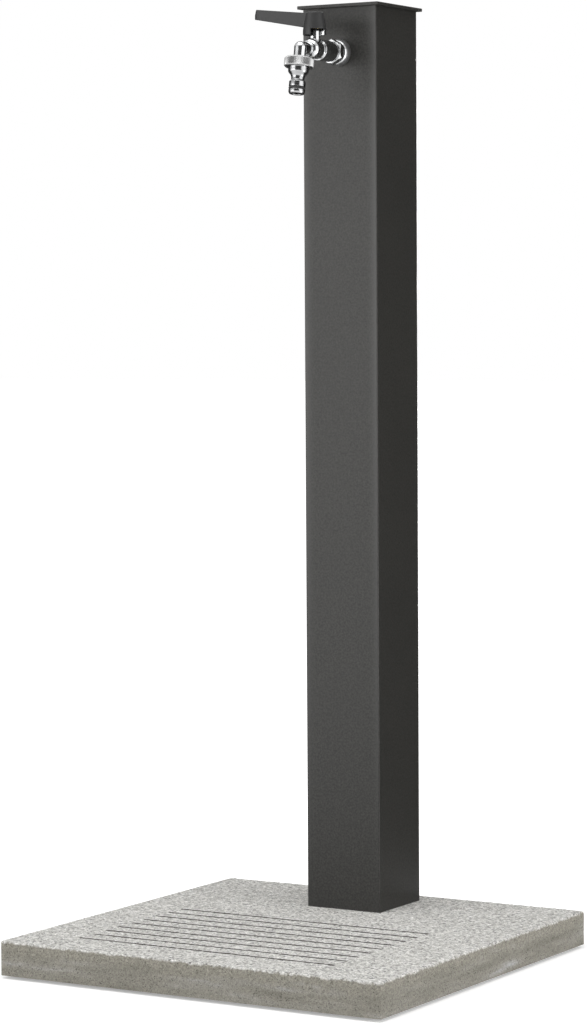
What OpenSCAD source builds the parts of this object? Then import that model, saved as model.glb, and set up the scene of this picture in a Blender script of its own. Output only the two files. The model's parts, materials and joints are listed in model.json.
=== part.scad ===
// Garden standpipe: a square column on a slotted concrete slab, with a
// quarter-turn ball tap and a push-fit hose plug near its top.
// Lengths are millimetres. The origin lies on the floor under the middle of
// the slab. +X is to the right, -Y is the front where the tap is, +Z is up.

/* [Drawing] */
// Piece to draw, or all of them

/* [Slab] */
// Width of the slab from left to right
slab_w = 400; // [360:5:480]
// Depth of the slab from front to back
slab_d = 400; // [380:5:480]
// Thickness of the slab
slab_t = 32; // [28:1:50]
// Radius of the slab's upright corners
slab_r = 2.5; // [2.5:0.5:20]
// Bevel along the slab's upper edge
slab_bevel = 1.5; // [0.5:0.5:2]
// Number of drain slots
slot_count = 9; // [5:1:10]
// Length of a drain slot
slot_len = 272; // [200:2:290]
// Width of a drain slot
slot_w = 3; // [2:0.5:3.5]
// Distance from one slot to the next
slot_pitch = 21.5; // [18:0.5:22]
// Distance from the slab's front edge to the middle of the first slot
slot_front = 48.5; // [40:0.5:60]
// How far the slots lie to the left of the slab's middle
slot_left = 9; // [0:1:20]
// Diameter of a rubber pad under the slab
pad_d = 30; // [20:1:30]
// Thickness of a rubber pad
pad_t = 3; // [2:0.5:6]
// Distance from the slab's edges to the middle of a pad
pad_inset = 38; // [30:1:38]

/* [Column] */
// Side of the square column
col_w = 80; // [78:1:90]
// Sheet thickness of the column
col_wall = 2; // [1.5:0.5:3]
// Height of the column above the slab
col_h = 863; // [700:1:1000]
// Outer radius of the column's long edges
col_r = 1.2; // [1:0.1:3]
// Distance from the column's back to the slab's rear edge
col_back = 26; // [26:1:60]
// How far the column stands to the left of the slab's middle
col_left = 6; // [0:1:20]
// Thickness of the cap plate
cap_t = 3; // [2:0.5:5]
// Overhang of the cap plate on each side
cap_over = 4.2; // [1:0.2:8]
// Depth of the moulded insert that holds the cap plate
insert_h = 18; // [12:1:19]

/* [Column foot] */
// Thickness of the foot bracket's base
plate_t = 4; // [3:0.5:6]
// Thickness of the foot bracket's tabs
tab_t = 3; // [2:0.5:4]
// Height of the foot bracket's tabs
tab_h = 38; // [30:1:40]
// Width of the foot bracket's tabs
tab_w = 50; // [40:1:56]
// Distance of an anchor bolt from the column's middle, both ways
anchor_at = 24; // [20:0.5:25]
// Shank diameter of an anchor bolt
anchor_d = 8; // [6:1:8]
// Height of the column screws above the slab
screw_h = 24; // [15:1:30]
// Shank diameter of a column screw
screw_d = 5; // [4:0.5:6]

/* [Water path] */
// Radius of the pipe thread on the inlet, the tap and the spout
thread_r = 10.4; // [10:0.1:10.6]
// Height of the inlet above the slab
inlet_h = 60; // [58:1:120]
// Length of the inlet outside the column
inlet_len = 23; // [20:1:24]
// Outer radius of the riser pipe
pipe_r = 7.5; // [7:0.25:7.5]
// Wall of the riser pipe
pipe_wall = 1; // [0.8:0.1:1.5]
// Thickness of the flat washers at the column's walls
washer_t = 2; // [1:0.5:3]

/* [Tap] */
// Distance of the tap's axis below the column's top
tap_drop = 43; // [42:1:120]
// Radius of the rosette
rosette_r = 12.8; // [12.6:0.1:16]
// Depth of the rosette
rosette_t = 8; // [6:0.5:9]
// Width across the flats of the tap's hexagon
hex_af = 21.5; // [21.5:0.5:25]
// Length of the tap's hexagon
hex_len = 7.4; // [6:0.1:9]
// Radius of the tap's barrel
barrel_r = 10; // [9.7:0.1:10.3]
// Distance from the column's face to the stem
stem_out = 45.5; // [44:0.5:55]
// Radius of the ball
ball_r = 7.2; // [7:0.1:7.3]
// Radius of the ball's waterway
ball_bore_r = 4; // [3:0.1:4.2]
// Distance from the stem to the spout
spout_reach = 26.5; // [25:0.5:40]
// Forward tilt of the spout in degrees
spout_tilt = 10; // [0:1:20]
// Radius of the spout's neck
spout_r = 5.7; // [5.6:0.1:6.4]

/* [Lever] */
// Distance from the stem to the lever's tip
lever_reach = 63; // [50:0.5:90]
// Angle that the lever turns through
lever_turn = 90; // [90:1:92]
// Radius of the lever's hub at its foot
hub_foot_r = 11.2; // [11:0.1:12]
// Radius of the lever's hub at its top
hub_top_r = 8.5; // [8.4:0.1:10]
// Height of the hub's top above the tap's axis
hub_top = 34.8; // [34.6:0.1:37]
// Width of the lever's arm at the hub
arm_root_w = 12.4; // [10:0.2:15]
// Width of the lever's arm at its tip
arm_tip_w = 15.6; // [10:0.2:20]
// Wall of the lever's arm
arm_wall = 2.2; // [1.6:0.1:3]

/* [Hose connector] */
// Radius of the knurled ring
ring_r = 14; // [13.6:0.1:16]
// Length of the knurled ring
ring_len = 9.1; // [8.6:0.1:11]
// Number of ribs on the knurled ring
rib_count = 60; // [30:2:72]
// Radius of the plug's shoulder
shoulder_r = 9.7; // [9:0.1:10]
// Radius of the plug's rims
plug_r = 7.8; // [7.6:0.1:8]
// Radius of the plug's neck
plug_neck_r = 6.3; // [6.2:0.1:6.6]
// Radius of the waterway in the plug
plug_bore_r = 4.8; // [4:0.1:4.8]

/* [Hidden] */
$fn = 96;

// Names of the separate pieces

// Overlap used where one cut must pass right through a face
EPS = 1;
// Clearance of a running fit or a threaded fit, on the radius
fit = 0.05;
// Clearance of a loose fit, on each side
slack = 0.3;

// Levels and places
slab_top = pad_t + slab_t;
col_x = -col_left;
col_y = slab_d / 2 - col_back - col_w / 2;
col_in = col_w - 2 * col_wall;
col_in_r = 0.5;
cap_bevel = 0.4;
front_y = col_y - col_w / 2;
tap_h = col_h - tap_drop;
tap_z = slab_top + tap_h;
pad_x = slab_w / 2 - pad_inset;
pad_y = slab_d / 2 - pad_inset;

// Anchor bolt sizes
anchor_r = anchor_d / 2;
anchor_af = anchor_d * 1.625;
anchor_head = anchor_d * 0.66;
anchor_nut = anchor_d * 0.81;
anchor_washer_r = anchor_d;
anchor_washer_t = anchor_d * 0.2;
recess_r = anchor_washer_r + 2;
recess_h = anchor_head + anchor_washer_t + 2;
bolt_low = pad_t + recess_h - anchor_washer_t - anchor_head;
bolt_high = slab_top + plate_t + anchor_washer_t + anchor_nut + 2;

// Column screw sizes
screw_r = screw_d / 2;
screw_head_r = screw_d * 0.95;
screw_head_h = screw_d * 0.55;
screw_x = tab_w / 2 - 10;
tab_nut_af = screw_d * 1.6;
tab_nut_h = screw_d * 0.8;
bracket_w = col_in - 2 * slack;
screw_len = col_wall + slack + tab_t + tab_nut_h + 2;

// Fitting sizes
way_r = pipe_r - pipe_wall;
leg_len = 24;
leg_socket = 10;
knuckle_r = thread_r + 2;
arm_r = thread_r + 0.8;
nut_af = 2 * thread_r + 5.6;
nut_grip = 11;
nut_head = 8;
nut_low = leg_len - nut_grip;
nut_high = leg_len + nut_head;
olive_r = pipe_r + 1.3;
olive_lip_r = pipe_r + 0.35;
olive_len = 5.4;
olive_flat = 1.4;
olive_mid = leg_len + 0.8;
mouth_r = olive_r + 0.2;
mouth_depth = 2.8;
cone_low = leg_len + 1.6;
cone_len = 3;
flange_r = thread_r + 5.6;
flange_t = 4;
locknut_h = 7;
barrel_in_r = thread_r + 1.6;
inlet_step = col_w / 2 + locknut_h + 1;
inlet_end = col_w / 2 + inlet_len;
port_r = thread_r + 2.6;
port_len = 22;
thread_in = 15;

// Tap sizes along its axis, from the column's face outwards
hex_gap = 1.6;
hex_low = rosette_t + hex_gap;
hex_high = hex_low + hex_len;
hex_r = hex_af / sqrt(3) + 0.2;
hex_fall = hex_r - hex_af / 2 + 0.15;
hex_chamfer = 2.4;
tail_in = col_wall + washer_t + thread_in;
seat_gap = ball_r - 0.15;
seat_near = ball_r * 0.58;
nose = stem_out - seat_gap;
sleeve_r = barrel_r - 1.5;
cavity_r = ball_r + 0.35;
waist_r = cavity_r + 1.05;
rim_r = barrel_r - 0.2;
rim_soft = 0.5;
barrel_end = nose + 2.2;
rim_low = stem_out + seat_gap - 1.4;
rim_high = rim_low + 2.2;
front_len = 5.5;
dome_r = spout_r + 0.2;
pipe_out_r = spout_r + 0.1;
spout_out = stem_out + spout_reach;

// Stem sizes, heights above the tap's axis
stem_r = 2.8;
collar_r = 3.6;
tang_t = 2.4;
tang_w = 6.4;
tang_low = ball_r - 2.7;
collar_low = ball_r + 0.15;
collar_high = collar_low + 1.6;
thrust_t = 0.6;
boss_r = 5.1;
boss_top = 19.2;
flare_r = boss_r + 1;
flare_low = waist_r - 0.4;
flare_len = 2.2;
packing_low = collar_high + thrust_t + 1.6;
packing_high = packing_low + 2.9;
packing_r = 4;
gland_af = 9;
gland_h = 2.4;
square_w = 3.9;
web_low = boss_top + gland_h + 0.8;
web_high = web_low + 6.2;
stem_top = web_high - 0.2;

// Lever sizes, heights above the tap's axis
hub_foot = boss_top - 0.2;
skirt_foot = hub_foot - 5.7;
cup_r = hub_foot_r - 2.3;
pocket_r = hub_top_r - 3.4;
arm_top_root = hub_top - 1.4;
arm_top_tip = arm_top_root + lever_reach * 0.099;
arm_foot_root = hub_foot - 0.1;
arm_foot_tip = arm_top_tip - 9.2;
tip_slant = 2.4;
tip_soft = 1;
rib_t = 1.6;

// The stop lug on the stem boss and the skirt that runs into it
lug_len = hub_foot_r - 2.2;
lug_near = 1.6;
lug_far = boss_r - 0.3;
lug_low = skirt_foot - 0.1;
lug_high = hub_foot - 0.4;
stop_slack = asin(slack / cup_r);
skirt_start = asin(lug_far / cup_r) + stop_slack;
skirt_end = atan(lug_near / lug_len) - stop_slack - lever_turn;
skirt_gap = skirt_start - skirt_end;

// Connector sizes along the spout, from the elbow's middle
ring_low = 10;
ring_bevel = 1.2;
rib_deep = 0.45;
ring_high = ring_low + ring_len;
collar_start = ring_low + 0.4;
seal_t = 2;
seal_high = ring_high - 2;
seal_low = seal_high - seal_t;
shoulder_len = 4.5;
shoulder_fall = 3.7;
neck_len = 4.1;
rim_len = 6.1;
groove_len = 2.6;
tip_len = 4;
mouth_soft = 0.5;
shoulder_high = ring_high + shoulder_len;
neck_low = shoulder_high + shoulder_fall;
neck_high = neck_low + neck_len;
groove_low = neck_high + rim_len;
groove_high = groove_low + groove_len;
tip_high = groove_high + tip_len;
groove_r = 6.1;

// Colours
concrete = [0.72, 0.71, 0.69];
anthracite = [0.2, 0.2, 0.2];
black = [0.1, 0.1, 0.1];
chrome = [0.8, 0.82, 0.84];
satin = [0.6, 0.61, 0.62];
brass = [0.75, 0.62, 0.34];
zinc = [0.66, 0.67, 0.69];
steel = [0.7, 0.7, 0.72];
rubber = [0.07, 0.07, 0.07];
white = [0.92, 0.92, 0.9];

// Places children in the column's own frame: on the slab, at its middle
module at_column() {
    translate([col_x, col_y, slab_top])
        children();
}

// Places children on the tap's axis: +Z out of the column, +Y up
module at_tap() {
    translate([col_x, front_y, tap_z])
        rotate([90, 0, 0])
            children();
}

// Places children on the stem's axis: +Z up from the tap's axis
module at_stem() {
    translate([col_x, front_y - stem_out, tap_z])
        children();
}

// Places children on the spout's axis: +Z towards its mouth
module at_spout() {
    at_tap()
        translate([0, 0, spout_out])
            rotate([90 - spout_tilt, 0, 0])
                children();
}

// Places children at the four anchor bolts, on the slab's underside level
module at_anchors() {
    for (dx = [-anchor_at, anchor_at])
        for (dy = [-anchor_at, anchor_at])
            translate([col_x + dx, col_y + dy, 0])
                children();
}

// Places children at the two column screws, +Z pointing into the column
module at_screws() {
    for (dx = [-screw_x, screw_x])
        translate([col_x + dx, col_y + col_w / 2, slab_top + screw_h])
            rotate([90, 0, 0])
                children();
}

// Places children on the inlet's axis: +Z out through the rear wall
module at_inlet() {
    at_column()
        translate([0, 0, inlet_h])
            rotate([-90, 0, 0])
                children();
}

// Ring between two radii and two heights
module tube(r_in, r_out, low, high) {
    translate([0, 0, low])
        difference() {
            cylinder(r = r_out, h = high - low);
            translate([0, 0, -EPS])
                cylinder(r = r_in, h = high - low + 2 * EPS);
        }
}

// Solid rod between two heights
module rod(r, low, high) {
    translate([0, 0, low])
        cylinder(r = r, h = high - low);
}

// Hexagon between two heights with its corners turned down at both ends
module hexagon(af, low, high) {
    corner = af / 2 / cos(30);
    turned = corner - af / 2;
    intersection() {
        translate([0, 0, low])
            cylinder(r = corner, h = high - low, $fn = 6);
        rotate_extrude()
            polygon([
                [0, low],
                [af / 2 - 0.1, low],
                [corner + 0.1, low + turned * 0.6],
                [corner + 0.1, high - turned * 0.6],
                [af / 2 - 0.1, high],
                [0, high]
            ]);
    }
}

// Outline of a square with rounded corners
module rounded_square(side, r) {
    square([side - 2 * r, side], center = true);
    square([side, side - 2 * r], center = true);
    for (sx = [-1, 1])
        for (sy = [-1, 1])
            translate([sx * (side / 2 - r), sy * (side / 2 - r)])
                circle(r = r);
}

// Block with rounded upright corners and a bevel along its upper edge
module bevelled_block(w, d, h, r, bevel) {
    rotate([90, 0, 90])
        linear_extrude(w - 2 * r, center = true)
            bevelled_side(d / 2, h, bevel);
    rotate([90, 0, 0])
        linear_extrude(d - 2 * r, center = true)
            bevelled_side(w / 2, h, bevel);
    for (sx = [-1, 1])
        for (sy = [-1, 1])
            translate([sx * (w / 2 - r), sy * (d / 2 - r), 0])
                rotate_extrude()
                    polygon([[0, 0], [r, 0], [r, h - bevel], [r - bevel, h], [0, h]]);
}

// Side view of such a block
module bevelled_side(half, h, bevel) {
    polygon([
        [-half, 0],
        [half, 0],
        [half, h - bevel],
        [half - bevel, h],
        [bevel - half, h],
        [-half, h - bevel]
    ]);
}

module base_slab() {
    color(concrete)
        difference() {
            translate([0, 0, pad_t])
                bevelled_block(slab_w, slab_d, slab_t, slab_r, slab_bevel);
            for (i = [0 : slot_count - 1])
                translate([
                    -slot_left - slot_len / 2,
                    -slab_d / 2 + slot_front + i * slot_pitch - slot_w / 2,
                    pad_t - EPS
                ])
                    cube([slot_len, slot_w, slab_t + 2 * EPS]);
            at_anchors() {
                rod(anchor_r + slack, pad_t - EPS, slab_top + EPS);
                rod(recess_r, pad_t - EPS, pad_t + recess_h);
            }
        }
}

module slab_pads() {
    color(rubber)
        for (sx = [-1, 1])
            for (sy = [-1, 1])
                translate([sx * pad_x, sy * pad_y, 0])
                    cylinder(d = pad_d, h = pad_t);
}

module anchor_bolts() {
    color(zinc)
        at_anchors() {
            hexagon(anchor_af, bolt_low, bolt_low + anchor_head);
            rod(anchor_r, bolt_low + anchor_head, bolt_high);
        }
}

module anchor_washers() {
    color(zinc)
        at_anchors() {
            tube(anchor_r + fit, anchor_washer_r, pad_t + recess_h - anchor_washer_t, pad_t + recess_h);
            tube(
                anchor_r + fit,
                anchor_washer_r,
                slab_top + plate_t,
                slab_top + plate_t + anchor_washer_t
            );
        }
}

module anchor_nuts() {
    low = slab_top + plate_t + anchor_washer_t;
    color(zinc)
        at_anchors()
            difference() {
                hexagon(anchor_af, low, low + anchor_nut);
                rod(anchor_r + fit, low - EPS, low + anchor_nut + EPS);
            }
}

module foot_bracket() {
    color(zinc)
        difference() {
            at_column() {
                translate([-bracket_w / 2, -bracket_w / 2, 0])
                    cube([bracket_w, bracket_w, plate_t]);
                for (turn = [0 : 90 : 270])
                    rotate(turn)
                        translate([bracket_w / 2 - tab_t, -tab_w / 2, 0])
                            cube([tab_t, tab_w, tab_h]);
            }
            at_anchors()
                rod(anchor_r + slack, slab_top - EPS, slab_top + plate_t + EPS);
            at_screws()
                rod(screw_r + slack, 0, col_wall + slack + tab_t + EPS);
        }
}

module tab_nuts() {
    low = col_wall + slack + tab_t;
    color(zinc)
        at_screws()
            difference() {
                hexagon(tab_nut_af, low, low + tab_nut_h);
                rod(screw_r + fit, low - EPS, low + tab_nut_h + EPS);
            }
}

module column_screws() {
    key_r = screw_d * 0.35;
    color(zinc)
        at_screws()
            difference() {
                union() {
                    rod(screw_r, 0, screw_len);
                    rotate_extrude()
                        polygon([
                            [0, -screw_head_h],
                            [screw_head_r * 0.6, -screw_head_h],
                            [screw_head_r * 0.88, -screw_head_h * 0.7],
                            [screw_head_r, -screw_head_h * 0.25],
                            [screw_head_r, 0],
                            [0, 0]
                        ]);
                }
                translate([0, 0, -screw_head_h - EPS])
                    cylinder(r = key_r, h = screw_head_h * 0.6 + EPS, $fn = 6);
            }
}

module column() {
    color(anthracite)
        difference() {
            at_column()
                linear_extrude(col_h)
                    difference() {
                        rounded_square(col_w, col_r);
                        rounded_square(col_in, col_in_r);
                    }
            at_tap()
                rod(thread_r + slack, -col_wall - EPS, EPS);
            at_inlet()
                rod(barrel_in_r + slack, col_in / 2 - EPS, col_w / 2 + EPS);
            at_screws()
                rod(screw_r + slack, -EPS, col_wall + EPS);
        }
}

module cap_plate() {
    side = col_w + 2 * cap_over;
    color(anthracite)
        at_column()
            translate([0, 0, col_h])
                bevelled_block(side, side, cap_t, col_r, cap_bevel);
}

module cap_insert() {
    fin_t = 1.2;
    shell = 2.5;
    side = col_in - 1.6;
    color(black)
        at_column()
            translate([0, 0, col_h - insert_h])
                difference() {
                    union() {
                        linear_extrude(insert_h)
                            rounded_square(side, 2);
                        for (i = [0 : 2])
                            translate([0, 0, 2 + i * (insert_h - 4 - fin_t) / 2])
                                linear_extrude(fin_t)
                                    rounded_square(col_in - 0.1, 2.5);
                    }
                    translate([0, 0, -EPS])
                        linear_extrude(insert_h - shell + EPS)
                            rounded_square(side - 2 * shell, 1);
                }
}

// Threaded leg of an elbow, up from the elbow's middle
module leg_solid() {
    cylinder(r = thread_r, h = leg_len);
    sphere(r = knuckle_r);
}

// Waterway, pipe socket and conical mouth of such a leg
module leg_hollow() {
    sphere(r = way_r + 0.5);
    rod(way_r - 0.2, 0, leg_socket + EPS);
    rod(pipe_r + fit, leg_socket, leg_len + EPS);
    translate([0, 0, leg_len - mouth_depth])
        cylinder(r1 = pipe_r + fit, r2 = mouth_r, h = mouth_depth + 0.01);
}

module inlet_elbow() {
    face = col_in / 2 - washer_t;
    color(brass)
        difference() {
            union() {
                at_column()
                    translate([0, 0, inlet_h])
                        leg_solid();
                at_inlet() {
                    rod(arm_r, 0, face);
                    rod(flange_r, face - flange_t, face);
                    rod(barrel_in_r, face - EPS, inlet_step);
                    rod(thread_r, inlet_step - EPS, inlet_end - 0.8);
                    translate([0, 0, inlet_end - 0.8])
                        cylinder(r1 = thread_r, r2 = thread_r - 0.8, h = 0.8);
                }
            }
            at_column()
                translate([0, 0, inlet_h])
                    leg_hollow();
            at_inlet()
                rod(way_r, 0, inlet_end + EPS);
        }
}

module inlet_washer() {
    color(rubber)
        at_inlet()
            tube(barrel_in_r + fit, flange_r, col_in / 2 - washer_t, col_in / 2);
}

module inlet_locknut() {
    low = col_w / 2;
    color(brass)
        at_inlet()
            difference() {
                hexagon(2 * barrel_in_r + 6, low, low + locknut_h);
                rod(barrel_in_r + fit, low - EPS, low + locknut_h + EPS);
            }
}

module riser_pipe() {
    color(steel)
        at_column()
            tube(way_r, pipe_r, inlet_h + leg_socket, tap_h - leg_socket);
}

// Nut that draws the compression ring onto the pipe, up from an elbow's middle
module compression_nut() {
    difference() {
        hexagon(nut_af, nut_low, nut_high);
        rod(thread_r + fit, nut_low - EPS, cone_low);
        translate([0, 0, cone_low])
            cylinder(r1 = mouth_r, r2 = pipe_r + 0.2, h = cone_len);
        rod(pipe_r + 0.2, nut_low, nut_high + EPS);
    }
}

module compression_nuts() {
    color(brass)
        at_column() {
            translate([0, 0, inlet_h])
                compression_nut();
            translate([0, 0, tap_h])
                mirror([0, 0, 1])
                    compression_nut();
        }
}

// Barrel-shaped ring around the pipe, up from an elbow's middle
module compression_ring() {
    low = olive_mid - olive_len / 2;
    high = olive_mid + olive_len / 2;
    rotate_extrude()
        polygon([
            [pipe_r + fit, low],
            [olive_lip_r, low],
            [olive_r, olive_mid - olive_flat / 2],
            [olive_r, olive_mid + olive_flat / 2],
            [olive_lip_r, high],
            [pipe_r + fit, high]
        ]);
}

module compression_rings() {
    color(brass)
        at_column() {
            translate([0, 0, inlet_h])
                compression_ring();
            translate([0, 0, tap_h])
                mirror([0, 0, 1])
                    compression_ring();
        }
}

module tap_elbow() {
    face = -col_wall - washer_t;
    middle = -col_w / 2;
    color(brass)
        difference() {
            union() {
                at_column()
                    translate([0, 0, tap_h])
                        mirror([0, 0, 1])
                            leg_solid();
                at_tap() {
                    rod(arm_r, middle, face);
                    rod(port_r, face - port_len, face);
                    rod(flange_r, face - flange_t, face);
                }
            }
            at_column()
                translate([0, 0, tap_h])
                    mirror([0, 0, 1])
                        leg_hollow();
            at_tap() {
                rod(way_r, middle, face);
                rod(thread_r + fit, face - thread_in - 2, face + EPS);
            }
        }
}

module wall_washer() {
    color(rubber)
        at_tap()
            tube(thread_r + fit, flange_r, -col_wall - washer_t, -col_wall);
}

module rosette() {
    color(chrome)
        at_tap()
            rotate_extrude()
                polygon([
                    [thread_r + fit, 0],
                    [rosette_r, 0],
                    [rosette_r - 0.1, rosette_t * 0.2],
                    [rosette_r - 0.7, rosette_t * 0.65],
                    [rosette_r - 1.1, rosette_t * 0.92],
                    [rosette_r - 1.5, rosette_t],
                    [thread_r + fit, rosette_t]
                ]);
}

module tap_tail() {
    color(chrome)
        at_tap()
            difference() {
                union() {
                    rod(thread_r, -tail_in, hex_low + EPS);
                    intersection() {
                        rotate(30)
                            hexagon(hex_af, hex_low, hex_high);
                        rotate_extrude()
                            polygon([
                                [0, hex_low - EPS],
                                [hex_r, hex_low - EPS],
                                [hex_r, hex_high - hex_chamfer],
                                [hex_r - hex_fall, hex_high],
                                [hex_r - hex_fall, hex_high + EPS],
                                [0, hex_high + EPS]
                            ]);
                    }
                    rod(sleeve_r, hex_high - EPS, nose);
                }
                rod(ball_bore_r + 0.6, -tail_in - EPS, nose + EPS);
            }
}

module tap_body() {
    color(chrome)
        difference() {
            union() {
                at_tap()
                    rotate_extrude()
                        polygon([
                            [0, hex_high],
                            [barrel_r - 0.4, hex_high],
                            [barrel_r, hex_high + 0.4],
                            [barrel_r, barrel_end - rim_soft],
                            [barrel_r - rim_soft, barrel_end],
                            [waist_r, barrel_end + rim_soft],
                            [waist_r, rim_low],
                            [rim_r - rim_soft, rim_low + 0.3],
                            for (a = [0 : 15 : 90])
                                [
                                    spout_r + (rim_r - spout_r) * cos(a),
                                    rim_high + front_len * sin(a)
                                ],
                            [spout_r, spout_out],
                            [0, spout_out]
                        ]);
                at_tap()
                    translate([0, 0, spout_out])
                        sphere(r = dome_r);
                at_spout() {
                    rod(pipe_out_r, 0, collar_start);
                    rod(thread_r, collar_start, seal_low);
                }
                at_stem() {
                    rod(boss_r, 0, boss_top);
                    rod(flare_r, 0, flare_low);
                    translate([0, 0, flare_low])
                        cylinder(r1 = flare_r, r2 = boss_r, h = flare_len);
                    translate([0, lug_near, lug_low])
                        cube([lug_len, lug_far - lug_near, lug_high - lug_low]);
                }
            }
            at_tap() {
                rod(sleeve_r + fit, hex_high - EPS, nose);
                rod(cavity_r, nose - EPS, stem_out + seat_gap);
                rod(ball_bore_r + 0.2, stem_out, spout_out);
                translate([0, 0, spout_out])
                    sphere(r = ball_bore_r + 0.6);
            }
            at_spout()
                rod(ball_bore_r + 0.4, 0, seal_low + EPS);
            at_stem() {
                rod(collar_r + fit, ball_r * 0.6, collar_high + thrust_t);
                rod(stem_r + fit, 0, boss_top + EPS);
                rod(packing_r, packing_low, boss_top + EPS);
            }
        }
}

module ball() {
    color(chrome)
        at_stem()
            difference() {
                sphere(r = ball_r);
                rotate([0, 90, 0])
                    cylinder(r = ball_bore_r, h = 2 * ball_r + EPS, center = true);
                translate([-tang_t / 2 - fit, -ball_r - EPS, tang_low - fit])
                    cube([tang_t + 2 * fit, 2 * (ball_r + EPS), ball_r]);
            }
}

// One seat ring, outwards from the ball's middle
module seat_ring() {
    difference() {
        tube(ball_bore_r + 0.3, cavity_r - fit, seat_near, seat_gap);
        sphere(r = ball_r + fit);
    }
}

module ball_seats() {
    color(white)
        at_tap()
            translate([0, 0, stem_out]) {
                seat_ring();
                mirror([0, 0, 1])
                    seat_ring();
            }
}

module stem() {
    color(steel)
        at_stem()
            difference() {
                union() {
                    translate([-tang_t / 2, -tang_w / 2, tang_low])
                        cube([tang_t, tang_w, collar_low - tang_low + 0.2]);
                    rod(collar_r, collar_low, collar_high);
                    rod(stem_r, collar_high, web_low - 0.4);
                    translate([-square_w / 2, -square_w / 2, web_low - 0.8])
                        cube([square_w, square_w, stem_top - web_low + 0.8]);
                }
                rod(1.5 + fit, stem_top - 7, stem_top + EPS);
            }
}

module thrust_washer() {
    color(white)
        at_stem()
            tube(stem_r + fit, collar_r, collar_high + 0.02, collar_high + thrust_t);
}

module stem_packing() {
    color(white)
        at_stem()
            tube(stem_r + fit, packing_r - fit, packing_low, packing_high);
}

module gland_nut() {
    color(brass)
        at_stem()
            difference() {
                union() {
                    rod(packing_r - fit, packing_high, boss_top + EPS);
                    hexagon(gland_af, boss_top, boss_top + gland_h);
                }
                rod(stem_r + fit, packing_high - EPS, boss_top + gland_h + EPS);
            }
}

// Side view of the lever's arm, drawn in by the given wall
module arm_side(wall) {
    tip = lever_reach - wall;
    polygon([
        [0, arm_foot_root - 4 * wall],
        [0, arm_top_root - wall],
        [tip_slant + tip_soft - tip, arm_top_tip - wall],
        [tip_slant - tip, arm_top_tip - wall - tip_soft],
        [-tip, arm_foot_tip + tip_soft - 4 * wall],
        [tip_soft - tip, arm_foot_tip - 4 * wall]
    ]);
}

// Plan view of the lever's arm, drawn in by the given wall
module arm_plan(wall) {
    tip = lever_reach - wall;
    root = arm_root_w / 2 - wall;
    end = arm_tip_w / 2 - wall;
    polygon([
        [0, -root],
        [0, root],
        [4 - tip, end],
        [1.2 - tip, end - 1.4],
        [-tip, end - 3.6],
        [-tip, 3.6 - end],
        [1.2 - tip, 1.4 - end],
        [4 - tip, -end]
    ]);
}

// Arm shape from its two views
module arm_shape(wall) {
    intersection() {
        rotate([90, 0, 0])
            linear_extrude(2 * arm_tip_w, center = true)
                arm_side(wall);
        linear_extrude(2 * hub_top)
            arm_plan(wall);
    }
}

module lever() {
    rib_at = [0.42, 0.62, 0.82];
    color(black)
        at_stem() {
            difference() {
                union() {
                    rotate_extrude()
                        polygon([
                            [0, skirt_foot],
                            [hub_foot_r, skirt_foot],
                            [hub_foot_r, hub_foot - 1],
                            [hub_top_r, hub_top - 1],
                            [hub_top_r - 0.4, hub_top - 0.3],
                            [hub_top_r - 1.2, hub_top],
                            [0, hub_top]
                        ]);
                    arm_shape(0);
                }
                difference() {
                    arm_shape(arm_wall);
                    rod(hub_foot_r + 0.6, 0, 2 * hub_top);
                    for (k = rib_at)
                        translate([-k * lever_reach - rib_t / 2, -arm_tip_w, 0])
                            cube([rib_t, 2 * arm_tip_w, 2 * hub_top]);
                }
                rod(cup_r, 0, web_low);
                rod(pocket_r, web_high, hub_top + EPS);
                translate([-square_w / 2 - fit, -square_w / 2 - fit, web_low - EPS])
                    cube([square_w + 2 * fit, square_w + 2 * fit, web_high - web_low + 2 * EPS]);
                rotate(skirt_end)
                    rotate_extrude(angle = skirt_gap)
                        translate([cup_r - EPS, skirt_foot - EPS])
                            square([hub_foot_r - cup_r + 2 * EPS, hub_foot - skirt_foot + EPS]);
            }
        }
}

module lever_washer() {
    color(steel)
        at_stem()
            tube(1.5 + fit, pocket_r - slack, web_high, web_high + 0.6);
}

module lever_screw() {
    low = web_high + 0.6;
    color(steel)
        at_stem()
            difference() {
                union() {
                    rod(1.5, stem_top - 6.5, low);
                    rod(2.75, low, low + 1.6);
                }
                translate([0, 0, low + 0.6])
                    cylinder(r = 1.15, h = 2, $fn = 6);
            }
}

module lever_cover() {
    high = hub_top - 0.2;
    color(black)
        at_stem()
            rotate_extrude()
                polygon([
                    [0, web_high + 2.5],
                    [pocket_r - fit, web_high + 2.5],
                    [pocket_r - fit, high - 0.4],
                    [pocket_r - 0.6, high],
                    [0, high]
                ]);
}

module spout_seal() {
    color(rubber)
        at_spout()
            tube(ball_bore_r + 1, thread_r - 0.3, seal_low, seal_high);
}

// Ribbed ring, along the spout
module knurled_ring() {
    intersection() {
        translate([0, 0, ring_low])
            linear_extrude(ring_len)
                polygon([
                    for (i = [0 : 2 * rib_count - 1])
                        (ring_r - (i % 2) * rib_deep)
                            * [cos(i * 180 / rib_count), sin(i * 180 / rib_count)]
                ]);
        rotate_extrude()
            polygon([
                [0, ring_low],
                [ring_r - ring_bevel, ring_low],
                [ring_r + 0.1, ring_low + ring_bevel],
                [ring_r + 0.1, ring_high - ring_bevel],
                [ring_r - ring_bevel, ring_high],
                [0, ring_high]
            ]);
    }
}

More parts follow.
